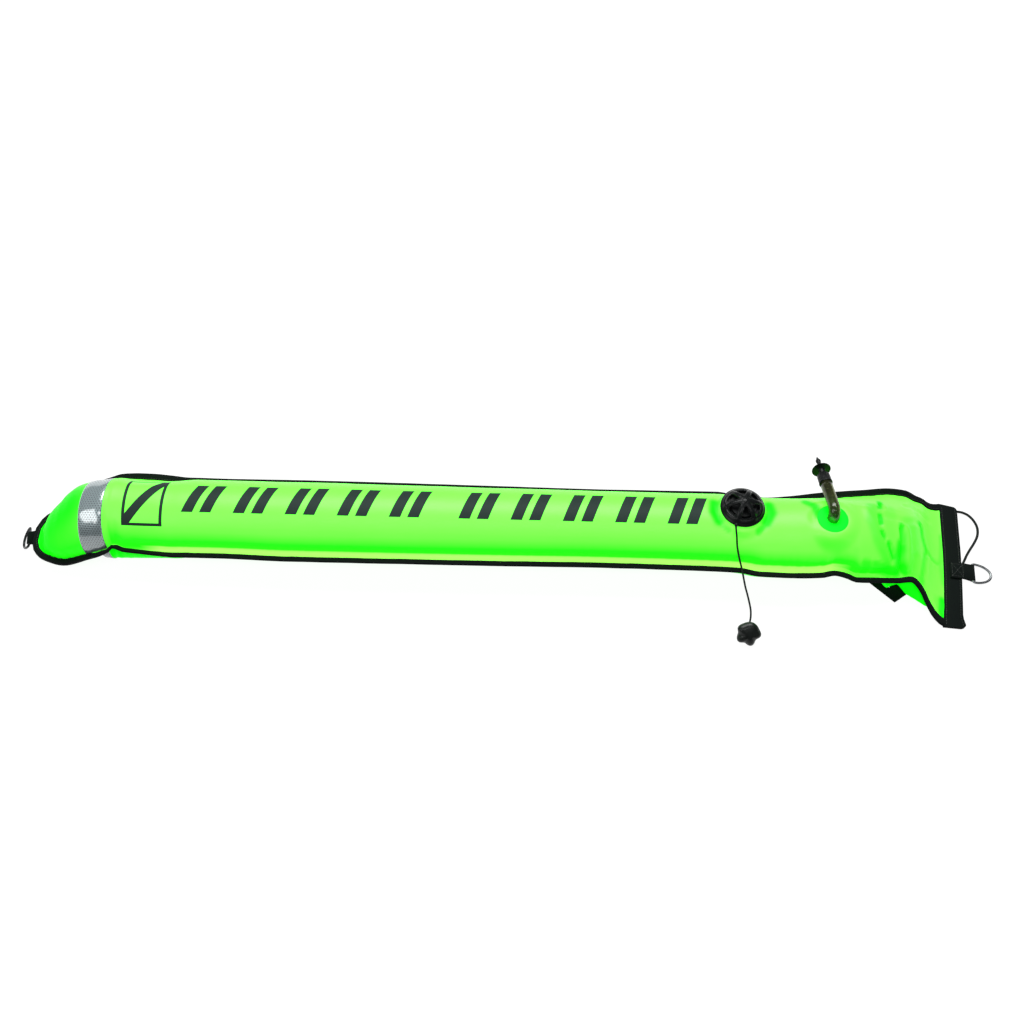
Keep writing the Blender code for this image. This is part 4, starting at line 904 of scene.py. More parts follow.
def axes_place(origin, x_axis, y_axis):
    """A placement from an origin and two directions, the third following from them."""
    matrix = Matrix((x_axis, y_axis, x_axis.cross(y_axis))).transposed().to_4x4()
    matrix.translation = origin
    return matrix


def aimed_place(origin, aim):
    """A placement from an origin, with its Z axis along a direction."""
    matrix = aim.to_track_quat("Z", "Y").to_matrix().to_4x4()
    matrix.translation = origin
    return matrix


def smooth_line(route, spacing):
    """Evenly spaced points on a smooth curve through a route's own points."""
    spots = [Vector(point) * MM for point in route]
    ends = [spots[0] * 2 - spots[1]] + spots + [spots[-1] * 2 - spots[-2]]
    dense = []
    for a, b, c, d in zip(ends, ends[1:], ends[2:], ends[3:]):
        for step in range(CURVE_STEPS):
            t = step / CURVE_STEPS
            dense.append(0.5 * (2 * b + (c - a) * t + (2 * a - 5 * b + 4 * c - d) * t * t
                                + (3 * b - a - 3 * c + d) * t ** 3))
    dense.append(spots[-1])
    total = sum((b - a).length for a, b in zip(dense, dense[1:]))
    count = max(round(total / spacing), 4)
    result, travelled, target = [dense[0]], 0.0, total / count
    for a, b in zip(dense, dense[1:]):
        length = (b - a).length
        while travelled + length >= target and len(result) < count:
            result.append(a.lerp(b, (target - travelled) / length))
            target += total / count
        travelled += length
    result.append(dense[-1])
    return result, total


def tube_sections(points, radius, sides, closed=False):
    """Round sections that follow a line without twisting."""
    sections, side = [], None
    count = len(points)
    for i, point in enumerate(points):
        before = points[i - 1] if closed or i else point
        after = points[(i + 1) % count] if closed or i < count - 1 else point
        aim = (after - before).normalized()
        if side is None:
            side = aim.orthogonal().normalized()
        side = (side - aim * side.dot(aim)).normalized()
        other = aim.cross(side)
        sections.append([point + (side * math.cos(2 * math.pi * j / sides)
                                  + other * math.sin(2 * math.pi * j / sides)) * radius
                         for j in range(sides)])
    return sections


def stitch_runs(line, normal_of, length, gap, radius, sink):
    """The sections of short threads in a row along a line, pressed partly into the cloth."""
    runs = []
    travelled, target = 0.0, gap / 2
    for a, b in zip(line, line[1:]):
        step = (b - a).length
        aim = (b - a).normalized()
        while travelled + step >= target:
            start = a + aim * (target - travelled)
            lift = normal_of(start) * (radius - sink)
            sections = []
            side = aim.cross(normal_of(start)).normalized()
            up = side.cross(aim)
            for share, width in STITCH_PROFILE:
                centre = start + aim * length * share + lift
                section = []
                for j in range(STITCH_SIDES):
                    turn = math.pi * j / (STITCH_SIDES / 2)
                    section.append(centre + (side * math.cos(turn) + up * math.sin(turn))
                                   * radius * width)
                sections.append(section)
            runs.append(sections)
            target += length + gap
        travelled += step
    return runs


# Materials

def add_node(tree, kind, *values, **choices):
    """A shader node whose inputs take numbers, colours or other nodes' outputs, in order."""
    made = tree.nodes.new("ShaderNode" + kind)
    for name, value in choices.items():
        setattr(made, name, value)
    for socket, value in zip(made.inputs, values):
        connect(tree, socket, value)
    return made


def connect(tree, socket, value):
    """Give an input a number, a colour or another node's output. None leaves it as it is."""
    if isinstance(value, bpy.types.NodeSocket):
        tree.links.new(value, socket)
    elif value is not None:
        socket.default_value = value


class Finish:
    """A procedural material under construction. Its inputs take numbers or other outputs."""

    def __init__(self, name, colour, roughness, metallic=0.0):
        self.material = bpy.data.materials.new(name)
        self.material.use_nodes = True
        self.tree = self.material.node_tree
        self.shader = self.tree.nodes["Principled BSDF"]
        self.set("Base Color", (*colour, 1.0))
        self.set("Roughness", roughness)
        self.set("Metallic", metallic)
        self._plan = None

    def set(self, name, value):
        connect(self.tree, self.shader.inputs[name], value)

    def node(self, kind, *values, **choices):
        return add_node(self.tree, kind, *values, **choices)

    def math(self, operation, *values):
        return self.node("Math", *values, operation=operation).outputs[0]

    def total(self, *values):
        return functools.reduce(lambda first, second: self.math("ADD", first, second), values)

    def product(self, *values):
        return functools.reduce(lambda first, second: self.math("MULTIPLY", first, second), values)

    def rest(self, value):
        """1 less a value."""
        return self.math("SUBTRACT", 1.0, value)

    def plan(self):
        """The piece's own millimetres: along, across, a flag, and all three as a vector."""
        if self._plan is None:
            source = self.node("Attribute", attribute_name="plan").outputs["Vector"]
            self._plan = (*self.node("SeparateXYZ", source).outputs, source)
        return self._plan

    def place(self):
        """The object's own metres, for pieces without a plan."""
        return self.node("TexCoord").outputs["Object"]

    def noise(self, vector, scale, detail=3.0):
        made = self.node("TexNoise", vector)
        made.inputs["Scale"].default_value = scale
        made.inputs["Detail"].default_value = detail
        return made.outputs[0]

    def span(self, value, low, high, bottom=0.0, top=1.0):
        """A value's place between low and high, as a number from bottom to top."""
        return self.node("MapRange", value, low, high, bottom, top, clamp=True).outputs[0]

    def within(self, value, low, high, soft=0.3):
        """1 between low and high, and 0 outside them."""
        return self.product(self.span(value, low - soft, low + soft),
                            self.span(value, high + soft, high - soft))

    def mix(self, share, first, second):
        """A colour from two colours or outputs."""
        made = self.node("Mix", share, data_type="RGBA")
        for socket, value in zip(made.inputs[6:8], (first, second)):
            is_output = isinstance(value, bpy.types.NodeSocket)
            connect(self.tree, socket, value if is_output else (*value, 1.0))
        return made.outputs[2]

    def tint(self, share, colour, low, high):
        """Let the base colour run between two shades of a colour."""
        self.set("Base Color", self.mix(share, shade(colour, low), shade(colour, high)))

    def wave(self, value, pitch):
        """A sine of a length in millimetres."""
        return self.math("SINE", self.math("MULTIPLY_ADD", value, 2 * math.pi / pitch, 0.0))

    def relief(self, height, distance, strength=1.0):
        made = self.node("Bump")
        made.inputs["Strength"].default_value = strength
        made.inputs["Distance"].default_value = distance
        connect(self.tree, made.inputs["Height"], height)
        self.set("Normal", made.outputs[0])


def shade(colour, factor):
    return tuple(min(channel * factor, 1.0) for channel in colour)


def flag_mask(finish, along, around):
    """A box with a stripe from corner to corner, the common sign for a diver below."""
    low_x, high_x, low_y, high_y = FLAG_BOX_MM
    whole, inside = (
        finish.product(finish.within(along, low_x + inset, high_x - inset),
                       finish.within(around, low_y + inset, high_y - inset))
        for inset in (0.0, FLAG_LINE_MM))
    run, rise = high_x - low_x, high_y - low_y
    length = math.hypot(run, rise)
    first = finish.math("MULTIPLY_ADD", along, rise / length, -low_x * rise / length)
    second = finish.math("MULTIPLY_ADD", around, -run / length, low_y * run / length)
    stripe = finish.within(finish.total(first, second), -FLAG_STRIPE_MM / 2, FLAG_STRIPE_MM / 2)
    return finish.product(whole, finish.math("MAXIMUM", stripe, finish.rest(inside)))


def bars_mask(finish, along, around):
    """Two groups of five pairs of slanted bars along the front."""
    skewed = finish.math("MULTIPLY_ADD", around, -BARS_SLANT, along)
    masks = []
    for start, pitch in BAR_GROUPS_MM:
        end = start + (PAIRS_IN_GROUP - 1) * pitch + BAR_PAIR_MM[3]
        local = finish.math("FLOORED_MODULO",
                            finish.math("SUBTRACT", skewed, start - BAR_MARGIN_MM), pitch)
        a, b, c, d = (value + BAR_MARGIN_MM for value in BAR_PAIR_MM)
        pair = finish.total(finish.within(local, a, b), finish.within(local, c, d))
        masks.append(finish.product(pair, finish.within(skewed, start - 2, end + 2)))
    return finish.product(finish.total(*masks),
                          finish.within(around, BARS_LOW_MM, BARS_HIGH_MM))


def cloth_finish(settings):
    """Fluorescent coated cloth with the dark print on its front, and painted light and shade by the
    way it faces.
    """
    colour, lit_colour, print_colour = (settings.colour, settings.lit_colour,
                                        settings.print_colour)
    finish = Finish("fluorescent_cloth", colour, settings.roughness)
    along, around, front, plan = finish.plan()
    cloud = finish.noise(plan, 0.03, 4.0)
    grain = finish.noise(plan, 1.4, 2.0)
    mask = finish.product(finish.math("MINIMUM", 1.0, finish.total(
        flag_mask(finish, along, around), bars_mask(finish, along, around))), front)
    # Painted light: how much the cloth faces LIT_SIDE, less in the painted shade; the back panel
    # gets none, so it is painted in shade all over
    facing = finish.node("VectorMath", finish.node("NewGeometry").outputs["Normal"], LIT_SIDE,
                         operation="DOT_PRODUCT").outputs["Value"]
    crease = finish.node("Attribute", attribute_name="crease").outputs["Fac"]
    lit = finish.product(front, finish.span(facing, 0.12, 0.62, LEAST_LIT, 1.0),
                         finish.rest(crease))

    tone = finish.mix(cloud, shade(colour, 0.93), shade(colour, 1.05))
    tone = finish.mix(finish.span(grain, 0.3, 0.7, 0.0, 0.25), tone, shade(colour, 0.86))
    # Painted shade: the cloth takes the painted side colour where it turns away from LIT_SIDE
    tone = finish.mix(lit, settings.painted_side_colour, tone)
    ink = finish.mix(grain, print_colour, shade(print_colour, 1.5))
    finish.set("Base Color", finish.mix(mask, tone, ink))
    finish.set("Roughness", finish.span(finish.total(grain, mask), 0.0, 2.0,
                                        settings.roughness - 0.05, settings.roughness + 0.12))
    # The gloss is also lower in the painted shade and on the print
    finish.set("Specular IOR Level", finish.span(finish.product(lit, finish.rest(mask)),
                                                 0.0, 1.0, 0.05, settings.gloss))

    # The glow turns paler towards the lit colour where the cloth faces LIT_SIDE: painted light
    glow = finish.mix(lit, settings.painted_side_glow, lit_colour)
    # Painted highlight: a bright strip beside the near seam, where the glow is four times the lit
    # colour
    strip = finish.product(finish.span(around, *STRIP_MM),
                           finish.within(along, *STRIP_LENGTH_MM), front)
    glow = finish.mix(strip, glow, shade(lit_colour, 4.0))
    finish.set("Emission Color", finish.mix(mask, glow, (0.0, 0.0, 0.0)))
    finish.set("Emission Strength", settings.glow)

    weave = finish.product(finish.wave(along, settings.weave_pitch / MM),
                           finish.wave(around, settings.weave_pitch / MM))
    slack = finish.noise(plan, 0.12, 3.0)
    finish.relief(finish.total(finish.product(weave, 0.06), finish.product(mask, 0.25),
                               finish.product(slack, 0.8)), 0.3 * MM, 0.6)
    return finish.material


def plain_cloth_finish(name, colour, glow=0.0):
    """The coated cloth of the fittings' patches and the inner sheets."""
    finish = Finish(name, colour, 0.5)
    grain = finish.noise(finish.place(), 900.0, 3.0)
    finish.tint(grain, colour, 0.85, 1.1)
    finish.set("Specular IOR Level", 0.06)
    # Green glow as on the main cloth: partly the dye's fluorescence, partly painted light
    finish.set("Emission Color", (0.0, 1.0, 0.0, 1.0))
    finish.set("Emission Strength", glow)
    finish.relief(grain, 0.15 * MM, 0.4)
    return finish.material


def tape_finish(settings):
    """Grey reflective tape with a honeycomb of darker cells under a clear face."""
    light, dark = settings.tape_colour, settings.cell_colour
    finish = Finish("reflective_tape", (0.3, 0.33, 0.35), 0.3, 0.3)
    along, around, _, plan = finish.plan()
    pitch = settings.cell / MM
    spots = []
    for shift in (0.0, 0.5):
        offsets = []
        for value, size in ((along, pitch), (around, pitch * math.sqrt(3))):
            local = finish.math("FLOORED_MODULO", finish.math("ADD", value, shift * size), size)
            offsets.append(finish.math("SUBTRACT", local, size / 2))
        squares = [finish.product(offset, offset) for offset in offsets]
        spots.append(finish.math("SQRT", finish.total(*squares)))
    cell = finish.span(finish.math("MINIMUM", *spots), 0.26 * pitch, 0.42 * pitch)
    grain = finish.noise(plan, 2.2, 2.0)
    finish.set("Base Color", finish.mix(finish.span(grain, 0.35, 0.75, 0.0, 0.35),
                                        finish.mix(cell, dark, light), shade(light, 1.35)))
    finish.set("Roughness", finish.span(cell, 0.0, 1.0, 0.42, 0.24))
    finish.set("Coat Weight", 0.7)
    finish.set("Coat IOR", 2.2)
    finish.set("Coat Roughness", 0.1)
    finish.relief(cell, 0.2 * MM, 0.5)
    return finish.material


def webbing_finish(name, settings, pitches_mm=None):
    """Black woven webbing: ribs across it, broken by its warp threads."""
    warp_pitch, rib_pitch = pitches_mm or (settings.weave_pitch / MM, settings.rib_pitch / MM)
    colour, roughness = settings.colour, 0.78
    finish = Finish(name, colour, roughness)
    along, across, _, plan = finish.plan()
    lift = finish.math("ABSOLUTE", finish.total(
        finish.wave(along, rib_pitch), finish.product(finish.wave(across, warp_pitch), 0.7)))
    fibre = finish.noise(plan, 3.5, 2.0)
    height = finish.total(lift, finish.product(fibre, 0.6))
    # Painted shade and highlight: the colour is darker in the weave's hollows and lighter on its
    # raised ribs, after the relief's height
    finish.tint(finish.span(height, 0.3, 2.2), colour, 0.55, 1.9)
    finish.set("Roughness", finish.span(fibre, 0.2, 0.8, roughness - 0.08, roughness + 0.1))
    finish.set("Specular IOR Level", 0.07)
    finish.set("Sheen Weight", 0.008)
    finish.set("Sheen Roughness", 0.4)
    finish.relief(height, 0.22 * MM, 0.55)
    return finish.material


def braid_finish(name, colour, strand_mm):
    """A braided cord: two sets of strands that cross as they wind round it."""
    finish = Finish(name, colour, 0.6)
    along, around, _, plan = finish.plan()
    wound = finish.product(around, 0.9)
    right = finish.wave(finish.total(along, wound), strand_mm)
    left = finish.wave(finish.math("SUBTRACT", along, wound), strand_mm)
    height = finish.total(finish.math("MAXIMUM", right, left),
                          finish.product(finish.noise(plan, 4.0, 2.0), 0.5))
    # Painted shade and highlight: the colour is darker between the strands and lighter on them,
    # after the relief's height
    finish.tint(finish.span(height, -0.4, 1.4), colour, 0.4, 1.7)
    finish.set("Specular IOR Level", 0.2)
    finish.relief(height, 0.25 * MM, 0.7)
    return finish.material


def moulded_finish(name, colour, roughness, grain=60.0, depth_mm=0.05, gloss=0.3):
    """Moulded plastic or rubber with a faint grain and uneven gloss."""
    finish = Finish(name, colour, roughness)
    place = finish.place()
    cloud = finish.noise(place, grain, 3.0)
    fine = finish.noise(place, grain * 30, 2.0)
    finish.tint(cloud, colour, 0.8, 1.25)
    finish.set("Roughness", finish.span(cloud, 0.3, 0.7, roughness * 0.85, roughness * 1.2))
    finish.set("Specular IOR Level", gloss)
    finish.relief(finish.total(cloud, finish.product(fine, 0.3)), depth_mm * MM, 0.5)
    return finish.material


def steel_finish(name, colour, roughness):
    """Polished stainless wire with fine drawing lines."""
    finish = Finish(name, colour, roughness, 1.0)
    stretch = finish.node("Mapping", finish.place())
    stretch.inputs["Scale"].default_value = (180.0, 1900.0, 1900.0)
    lines = finish.noise(stretch.outputs[0], 1.0, 4.0)
    finish.tint(lines, colour, 0.8, 1.15)
    finish.set("Roughness", finish.span(lines, 0.3, 0.7, roughness * 0.7, roughness * 1.5))
    finish.relief(lines, 0.03 * MM, 0.4)
    return finish.material


def smoky_finish(settings):
    """See-through smoky tube of soft plastic."""
    colour = settings.tube_colour
    finish = Finish("smoky_tube", colour, 0.14)
    cloud = finish.noise(finish.place(), 90.0, 2.0)
    finish.tint(cloud, colour, 0.85, 1.1)
    finish.set("Transmission Weight", settings.tube_clearness)
    finish.set("IOR", 1.42)
    finish.set("Roughness", finish.span(cloud, 0.3, 0.7, 0.1, 0.2))
    finish.relief(cloud, 0.1 * MM, 0.3)
    return finish.material


# The bag

def cloth_shares(count):
    """Shares across a panel, closer together beside the seams."""
    shares = []
    for i in range(count + 1):
        t = i / count
        shares.append(0.55 * t + 0.45 * (0.5 - 0.5 * math.cos(math.pi * t)))
    return shares


def key_range(start, end, step):
    count = max(round((end - start) / step), 1)
    return [start + (end - start) * i / count for i in range(count + 1)]


def open_seat(mesh, centre, radius):
    """Remove the cloth under a fitting."""
    work = bmesh.new()
    work.from_mesh(mesh)
    gone = []
    for face in work.faces:
        middle = face.calc_center_median()
        away = math.hypot(middle.x - centre.x, middle.y - centre.y)
        if away < radius and middle.z > OPENING_LEVEL:
            gone.append(face)
    bmesh.ops.delete(work, geom=gone, context="FACES")
    work.to_mesh(mesh)
    work.free()


def build_panels(settings):
    """The bag's front and back cloth, with each front point's share of painted shade."""
    surface = cloth_finish(settings)
    keys = key_range(STATIONS[0][0], STATIONS[-1][0], settings.cloth_step)
    shares = cloth_shares(settings.cloth_columns)
    for side, upper in (("front", True), ("back", False)):
        grid, plan = cloth_grid(keys, shares, upper, CLOTH, settings)
        mesh = grid_mesh(grid, plan, not upper)
        # Painted shade in the folds, round the fittings' caps and on the nose, stored on each front
        # point
        painted_shades = mesh.attributes.new("crease", "FLOAT", "POINT")
        if upper:
            painted_shades.data.foreach_set("value", [painted_shade_share(x / MM, y / MM)
                                               for x, y, _ in grid.reshape(-1, 3)])
            open_seat(mesh, VALVE, VALVE_OPENING)
            open_seat(mesh, INFLATOR, INFLATOR_OPENING)
        sheet = add_piece(side + "_cloth", mesh, surface, (side + "_panel",))


def build_duckbill(settings):
    """The two inner sheets of the self-sealing mouth."""
    surface = plain_cloth_finish("inner_cloth", settings.colour)
    keys = key_range(DUCKBILL_START, DUCKBILL_END, 6 * MM)
    for side, upper in (("upper", True), ("lower", False)):
        rows = []
        for key in keys:
            share = (key - DUCKBILL_START) / (DUCKBILL_END - DUCKBILL_START)
            inset = DUCKBILL_INSET[0] - DUCKBILL_INSET[1] * share
            shares = [inset + (1 - 2 * inset) * i / DUCKBILL_COLUMNS
                      for i in range(DUCKBILL_COLUMNS + 1)]
            sag = DUCKBILL_SAG[0] + DUCKBILL_SAG[1] * share ** 2
            rows.append(panel_row(key, upper, 0.2 * MM, shares, sag, False))
        grid = np.array([[tuple(point) for point in row] for row in rows])
        mesh = grid_mesh(grid, panel_plan(grid, upper), not upper)
        sheet = add_piece("mouth_sheet_" + side, mesh, surface,
                          ("duckbill_" + side,))


def build_band(settings, cloth):
    """Reflective tape round the bag near its top, on each panel's finished cloth."""
    surface = tape_finish(settings)
    keys = key_range(TAPE_START, TAPE_START + TAPE_WIDTH, 2 * MM)
    shares = cloth_shares(cloth.cloth_columns)
    lift = CLOTH + settings.tape_lift
    for side, upper in (("front", True), ("back", False)):
        grid, plan = cloth_grid(keys, shares, upper, lift, cloth)
        grid, plan = grid[:, BAND_TRIM:-BAND_TRIM], plan[:, BAND_TRIM:-BAND_TRIM]
        mesh = grid_mesh(grid, plan, not upper)
        piece = add_piece("band_" + side, mesh, surface,
                          ("reflective_band_" + side,))
        thicken(piece, "tape", 0.3 * MM, 1.0)


def edge_line():
    """The bag's outer edge with the direction to its seam, from hem to hem round the top."""
    near_side, far_side = [], []
    keys = key_range(STATIONS[0][0], STATIONS[-2][0] - BINDING_END_GAP, BINDING_STEP)
    for key in keys:
        near, far, seam_near, seam_far = bag_edges(key)
        near_side.append((near, seam_near - near))
        far_side.append((far, seam_far - far))
    near_hem, far_hem = hem_line(HEM_WIDTH + FIT_GAP)
    setback = HEM_ACROSS * BINDING_HEM_GAP
    rise = Vector((0, 0, HEM_MIDDLE))
    near_side.append((near_hem - setback + rise, HEM_ALONG))
    far_side.append((far_hem - setback + rise, -HEM_ALONG))
    return list(reversed(near_side)) + far_side


def build_binding(settings):
    """Woven tape folded over the edges, with a row of stitches along its inner side."""
    path = edge_line()
    sections, seam = [], []
    for i, (point, inward) in enumerate(path):
        along = (path[min(i + 1, len(path) - 1)][0] - path[max(i - 1, 0)][0]).normalized()
        if abs(along.dot(inward.normalized())) > 0.8:
            # At the bag's top the edge runs across, so the seam lies further along the bag
            inward = Vector((1, 0, 0))
        outward = (along * inward.dot(along) - inward).normalized()
        normal = along.cross(outward)
        sway = noise.noise(Vector((i * 0.21, 4.4, 0.0))) * settings.binding_sway
        lip = 1 + LIP_WAVER * noise.noise(Vector((i * 0.33, 9.1, 0.0)))
        place = point + normal * sway * MM
        table = NEAR_BINDING_MM if i < len(path) / 2 else FAR_BINDING_MM
        _, inner, outer, bulk = pchip(table, point.x / MM)
        half = [(-inner * share * lip, height * bulk) for share, height in BINDING_INNER_MM]
        half += [(outer * share, height * bulk) for share, height in BINDING_OUTER_MM]
        shape = half + [(reach, -height) for reach, height in reversed(half)]
        sections.append([place + outward * reach * MM + normal * height * MM
                         for reach, height in reversed(shape)])
        share, height = BINDING_SEAM_MM
        seam.append((place - outward * inner * share * MM + normal * height * bulk * MM, normal))
    surface = webbing_finish("edge_tape", settings, EDGE_TAPE_PITCHES_MM)
    add_piece("edge_binding_tape", swept_mesh(sections), surface,
              ("edge_binding",))

    def nearest_normal(spot):
        return min(seam, key=lambda pair: (pair[0] - spot).length_squared)[1]

    return stitch_runs([point for point, _ in seam], nearest_normal, settings.stitch_length,
                       settings.stitch_gap, *TAPE_THREAD)


def hem_outline():
    """The webbing band's outline in the hem's own axes."""
    near, far = hem_line(HEM_WIDTH / 2)
    half = (far - near).length / 2
    inner, outer = -HEM_WIDTH / 2, HEM_WIDTH / 2 - HEM_CORNER
    low, high = -half - HEM_NEAR_OVERHANG, half + HEM_FAR_OVERHANG
    outline = [(inner, low)]
    for y, start in ((low + HEM_CORNER, -90), (high - HEM_CORNER, 0)):
        for step in range(9):
            angle = math.radians(start + 90 * step / 8)
            outline.append((outer + HEM_CORNER * math.cos(angle),
                            y + HEM_CORNER * math.sin(angle)))
    outline = [(x, y - HEM_FAR_SLANT * max(x - inner, 0) / HEM_WIDTH if y > 0 else y)
               for x, y in outline]
    bag_side = [(inner, low + (high - low) * i / 30) for i in range(1, 30)]
    mouth_side = [(HEM_WIDTH / 2, low + 8 * MM + (high - low - 20 * MM) * i / 28)
                  for i in range(29)]
    outline = outline[:10] + mouth_side + outline[10:] + [(inner, high)] + bag_side[::-1]
    return outline, (near + far) / 2, (low, high)


def build_hem(settings):
    """Two webbing bands across the mouth, sewn through with two rows of stitches."""
    surface = webbing_finish("hem_webbing", settings)
    outline, centre, (low, high) = hem_outline()
    place = axes_place(centre, HEM_ACROSS, HEM_ALONG)
    for name, bottom in (("hem_lower", 0.0), ("hem_upper", HEM_STACK - HEM_THICKNESS)):
        mesh = plate_mesh(outline, bottom, bottom + HEM_THICKNESS, place, ((0, 1), (1, 0)))
        piece = add_piece(name + "_webbing", mesh, surface, (name,))
        round_edges(piece, 0.45 * MM, 3)
        for vertex in mesh.vertices:
            vertex.co = bend_hem(vertex.co)
    runs = []
    for offset in HEM_SEAMS_MM:
        line = [bend_hem(place @ Vector((
            offset * MM, low + 3 * MM + (high - low - 9 * MM) * i / 40, HEM_STACK)))
            for i in range(41)]
        runs += stitch_runs(line, lambda spot: UP, settings.stitch_length, settings.stitch_gap,
                            *THREAD)
    return runs


def bend_hem(point):
    """The hem's near end swings back towards the bag."""
    past = max(SWING_START - point.y, 0.0) / SWING_LENGTH
    outer = clamp((point.x - SWING_INNER_X) / SWING_WIDTH)
    swing = SWING * past ** 1.5 * (1 + SWING_LOSS - SWING_LOSS * outer)
    flare = clamp((FLARE_START - point.y) / FLARE_LENGTH) * outer
    return point - Vector((swing - FLARE * flare, 0, 0))


def ring_line(depth):
    """A D in its own XY plane: the bar along Y through the origin, the bow towards +X."""
    steps = 40
    half = RING_BAR / 2 + RING_WIRE / 2
    corner, reach = RING_CORNER, depth + RING_WIRE
    points = [Vector((0, -half + corner + 2 * (half - corner) * i / 8, 0)) for i in range(9)]
    points.append(Vector((0.3 * corner, half - 0.3 * corner, 0)))
    for step in range(steps + 1):
        angle = math.radians(90 - 180 * step / steps)
        points.append(Vector((corner + (reach - corner) * math.cos(angle),
                              half * math.sin(angle), 0)))
    points.append(Vector((0.3 * corner, -half + 0.3 * corner, 0)))
    return points


def strip_sections(line, width, thickness, place, taper=0.0):
    """Sections of a webbing strip whose side view follows a line in its own XY plane."""
    sections = []
    for i, point in enumerate(line):
        aim = (line[min(i + 1, len(line) - 1)] - line[max(i - 1, 0)]).normalized()
        normal = Vector((-aim.y, aim.x, 0))
        section = []
        for across, height in STRIP_SECTION:
            if across > 0:
                across -= taper * clamp((point.x + 9 * MM) / (11 * MM))
            spot = point + normal * height * thickness + Vector((0, 0, across * width))
            section.append(place @ spot)
        sections.append(section)
    return sections


def ring_and_tab(names, bar, outward, droop, depth, start, rise, length, surfaces, body,
                 taper=0.0):
    """A D-ring and the webbing tab folded round its bar, from a start inward to its length."""
    tilt = math.radians(droop)
    sideways = UP.cross(outward)
    ring_x = outward * math.cos(tilt) - UP * math.sin(tilt)
    ring_place = axes_place(bar, ring_x, sideways)
    line = [ring_place @ point for point in ring_line(depth)]
    ring = swept_mesh(tube_sections(line, RING_WIRE / 2, 18, True), True)
    add_piece(names[0] + "_wire", ring, surfaces[0], (names[0],), body)

    place = axes_place(bar, outward, UP)
    radius = RING_WIRE / 2 + FIT_GAP + TAB_THICKNESS / 2
    half = TAB_THICKNESS / 2
    points = [(-start - length, rise - half), (-start - 2 * MM, rise - half)]
    lower, upper = (-100, 125) if rise > 0 else (-125, 100)
    for step in range(13):
        angle = math.radians(lower + (upper - lower) * step / 12)
        points.append((radius * math.cos(angle), radius * math.sin(angle)))
    points += [(-start - 2 * MM, rise + half), (-start - length, rise + half)]
    line, _ = smooth_line([(x / MM, y / MM, 0.0) for x, y in points], 0.5 * MM)
    mesh = swept_mesh(strip_sections(line, TAB_WIDTH, TAB_THICKNESS, place, taper))
    add_piece(names[1] + "_webbing", mesh, surfaces[1], (names[1],), sharp=50)
    return place


def bottom_ring_place():
    """The lower ring's bar, its height and how far the ring droops to the floor."""
    near, far = hem_line(0)
    along = (BOTTOM_RING_Y - near.y) / (far.y - near.y)
    height = RING_WIRE / 2 + FIT_GAP + TAB_THICKNESS + 0.1 * MM
    bar = near.lerp(far, along) + HEM_ACROSS * BOTTOM_RING_OUT + Vector((0, 0, height))
    drop = height - RING_WIRE / 2 - 0.1 * MM
    return bar, height, math.degrees(math.asin(drop / (BOTTOM_RING_DEPTH + RING_WIRE)))


def build_rings(settings):
    """Both D-rings and their tabs, with the box of stitches on the lower tab."""
    steel = steel_finish("stainless_steel", settings.steel_colour, 0.34)
    # The top ring's steel: the same steel at a sixth of its colour
    dark_steel = steel_finish("blackened_steel", shade(settings.steel_colour, 0.16), 0.3)
    webbing = webbing_finish("tab_webbing", settings)
    bar, height, droop = bottom_ring_place()
    rise = HEM_STACK + FIT_GAP + TAB_THICKNESS - height
    place = ring_and_tab(("bottom_d_ring", "bottom_tab"), bar, HEM_ACROSS, droop,
                         BOTTOM_RING_DEPTH, 12 * MM, rise, 20 * MM, (steel, webbing),
                         "bottom_ring")
    runs = []
    top = rise + TAB_THICKNESS
    for first, second in BOX_SEAMS:
        a, b = BOX_CORNERS_MM[first], BOX_CORNERS_MM[second]
        line = [place @ Vector(((a[0] + (b[0] - a[0]) * t / 8) * MM, top,
                                (a[1] + (b[1] - a[1]) * t / 8) * MM)) for t in range(9)]
        runs += stitch_runs(line, lambda spot: UP, *BOX_STITCH, *THREAD)
    turn = math.radians(TOP_RING_TURN)
    outward = Vector((-math.cos(turn), -math.sin(turn), 0))
    row = STATIONS[0]
    bar = Vector((row[1] - BINDING_FOLD, TOP_RING_Y, row[4])) + outward * TOP_RING_OUT
    ring_and_tab(("top_d_ring", "top_tab"), bar, outward, TOP_RING_DROOP, RING_DEPTH, 4 * MM,
                 -TOP_TAB_UNDER - TAB_THICKNESS, 6 * MM, (dark_steel, webbing), "top_ring",
                 TOP_TAB_TAPER)
    return runs


def build_strap(settings):
    """The stow strap: one webbing folded over itself to a V, flat on the floor."""
    for name, outline_mm, low, aim, nodes in STRAP_LEGS_MM:
        outline = [(x * MM, y * MM) for x, y in outline_mm]
        mesh = plate_mesh(outline, low * MM, (low + STRAP_THICKNESS_MM) * MM,
                          Matrix.Identity(4), (aim, (-aim[1], aim[0])))
        surface = webbing_finish(name + "_webbing", settings)
        round_edges(add_piece(name, mesh, surface, nodes), 0.25 * MM, 2)


def build_stitching(settings, runs):
    """One piece that holds every stitch."""
    finish = Finish("thread", settings.thread_colour, 0.55)
    grain = finish.noise(finish.plan()[3], 6.0, 2.0)
    finish.tint(grain, settings.thread_colour, 0.6, 1.5)
    finish.set("Sheen Weight", 0.2)
    finish.relief(grain, 0.05 * MM, 0.5)
    points, faces = [], []
    for sections in runs:
        faces += sweep_faces(STITCH_SIDES, len(sections), len(points))
        points += [tuple(point) for section in sections for point in section]
    plan = [(x / MM, y / MM, 0.0) for x, y, _ in points]
    add_piece("stitching", planned_mesh(points, faces, plan), finish.material)


# Dump valve

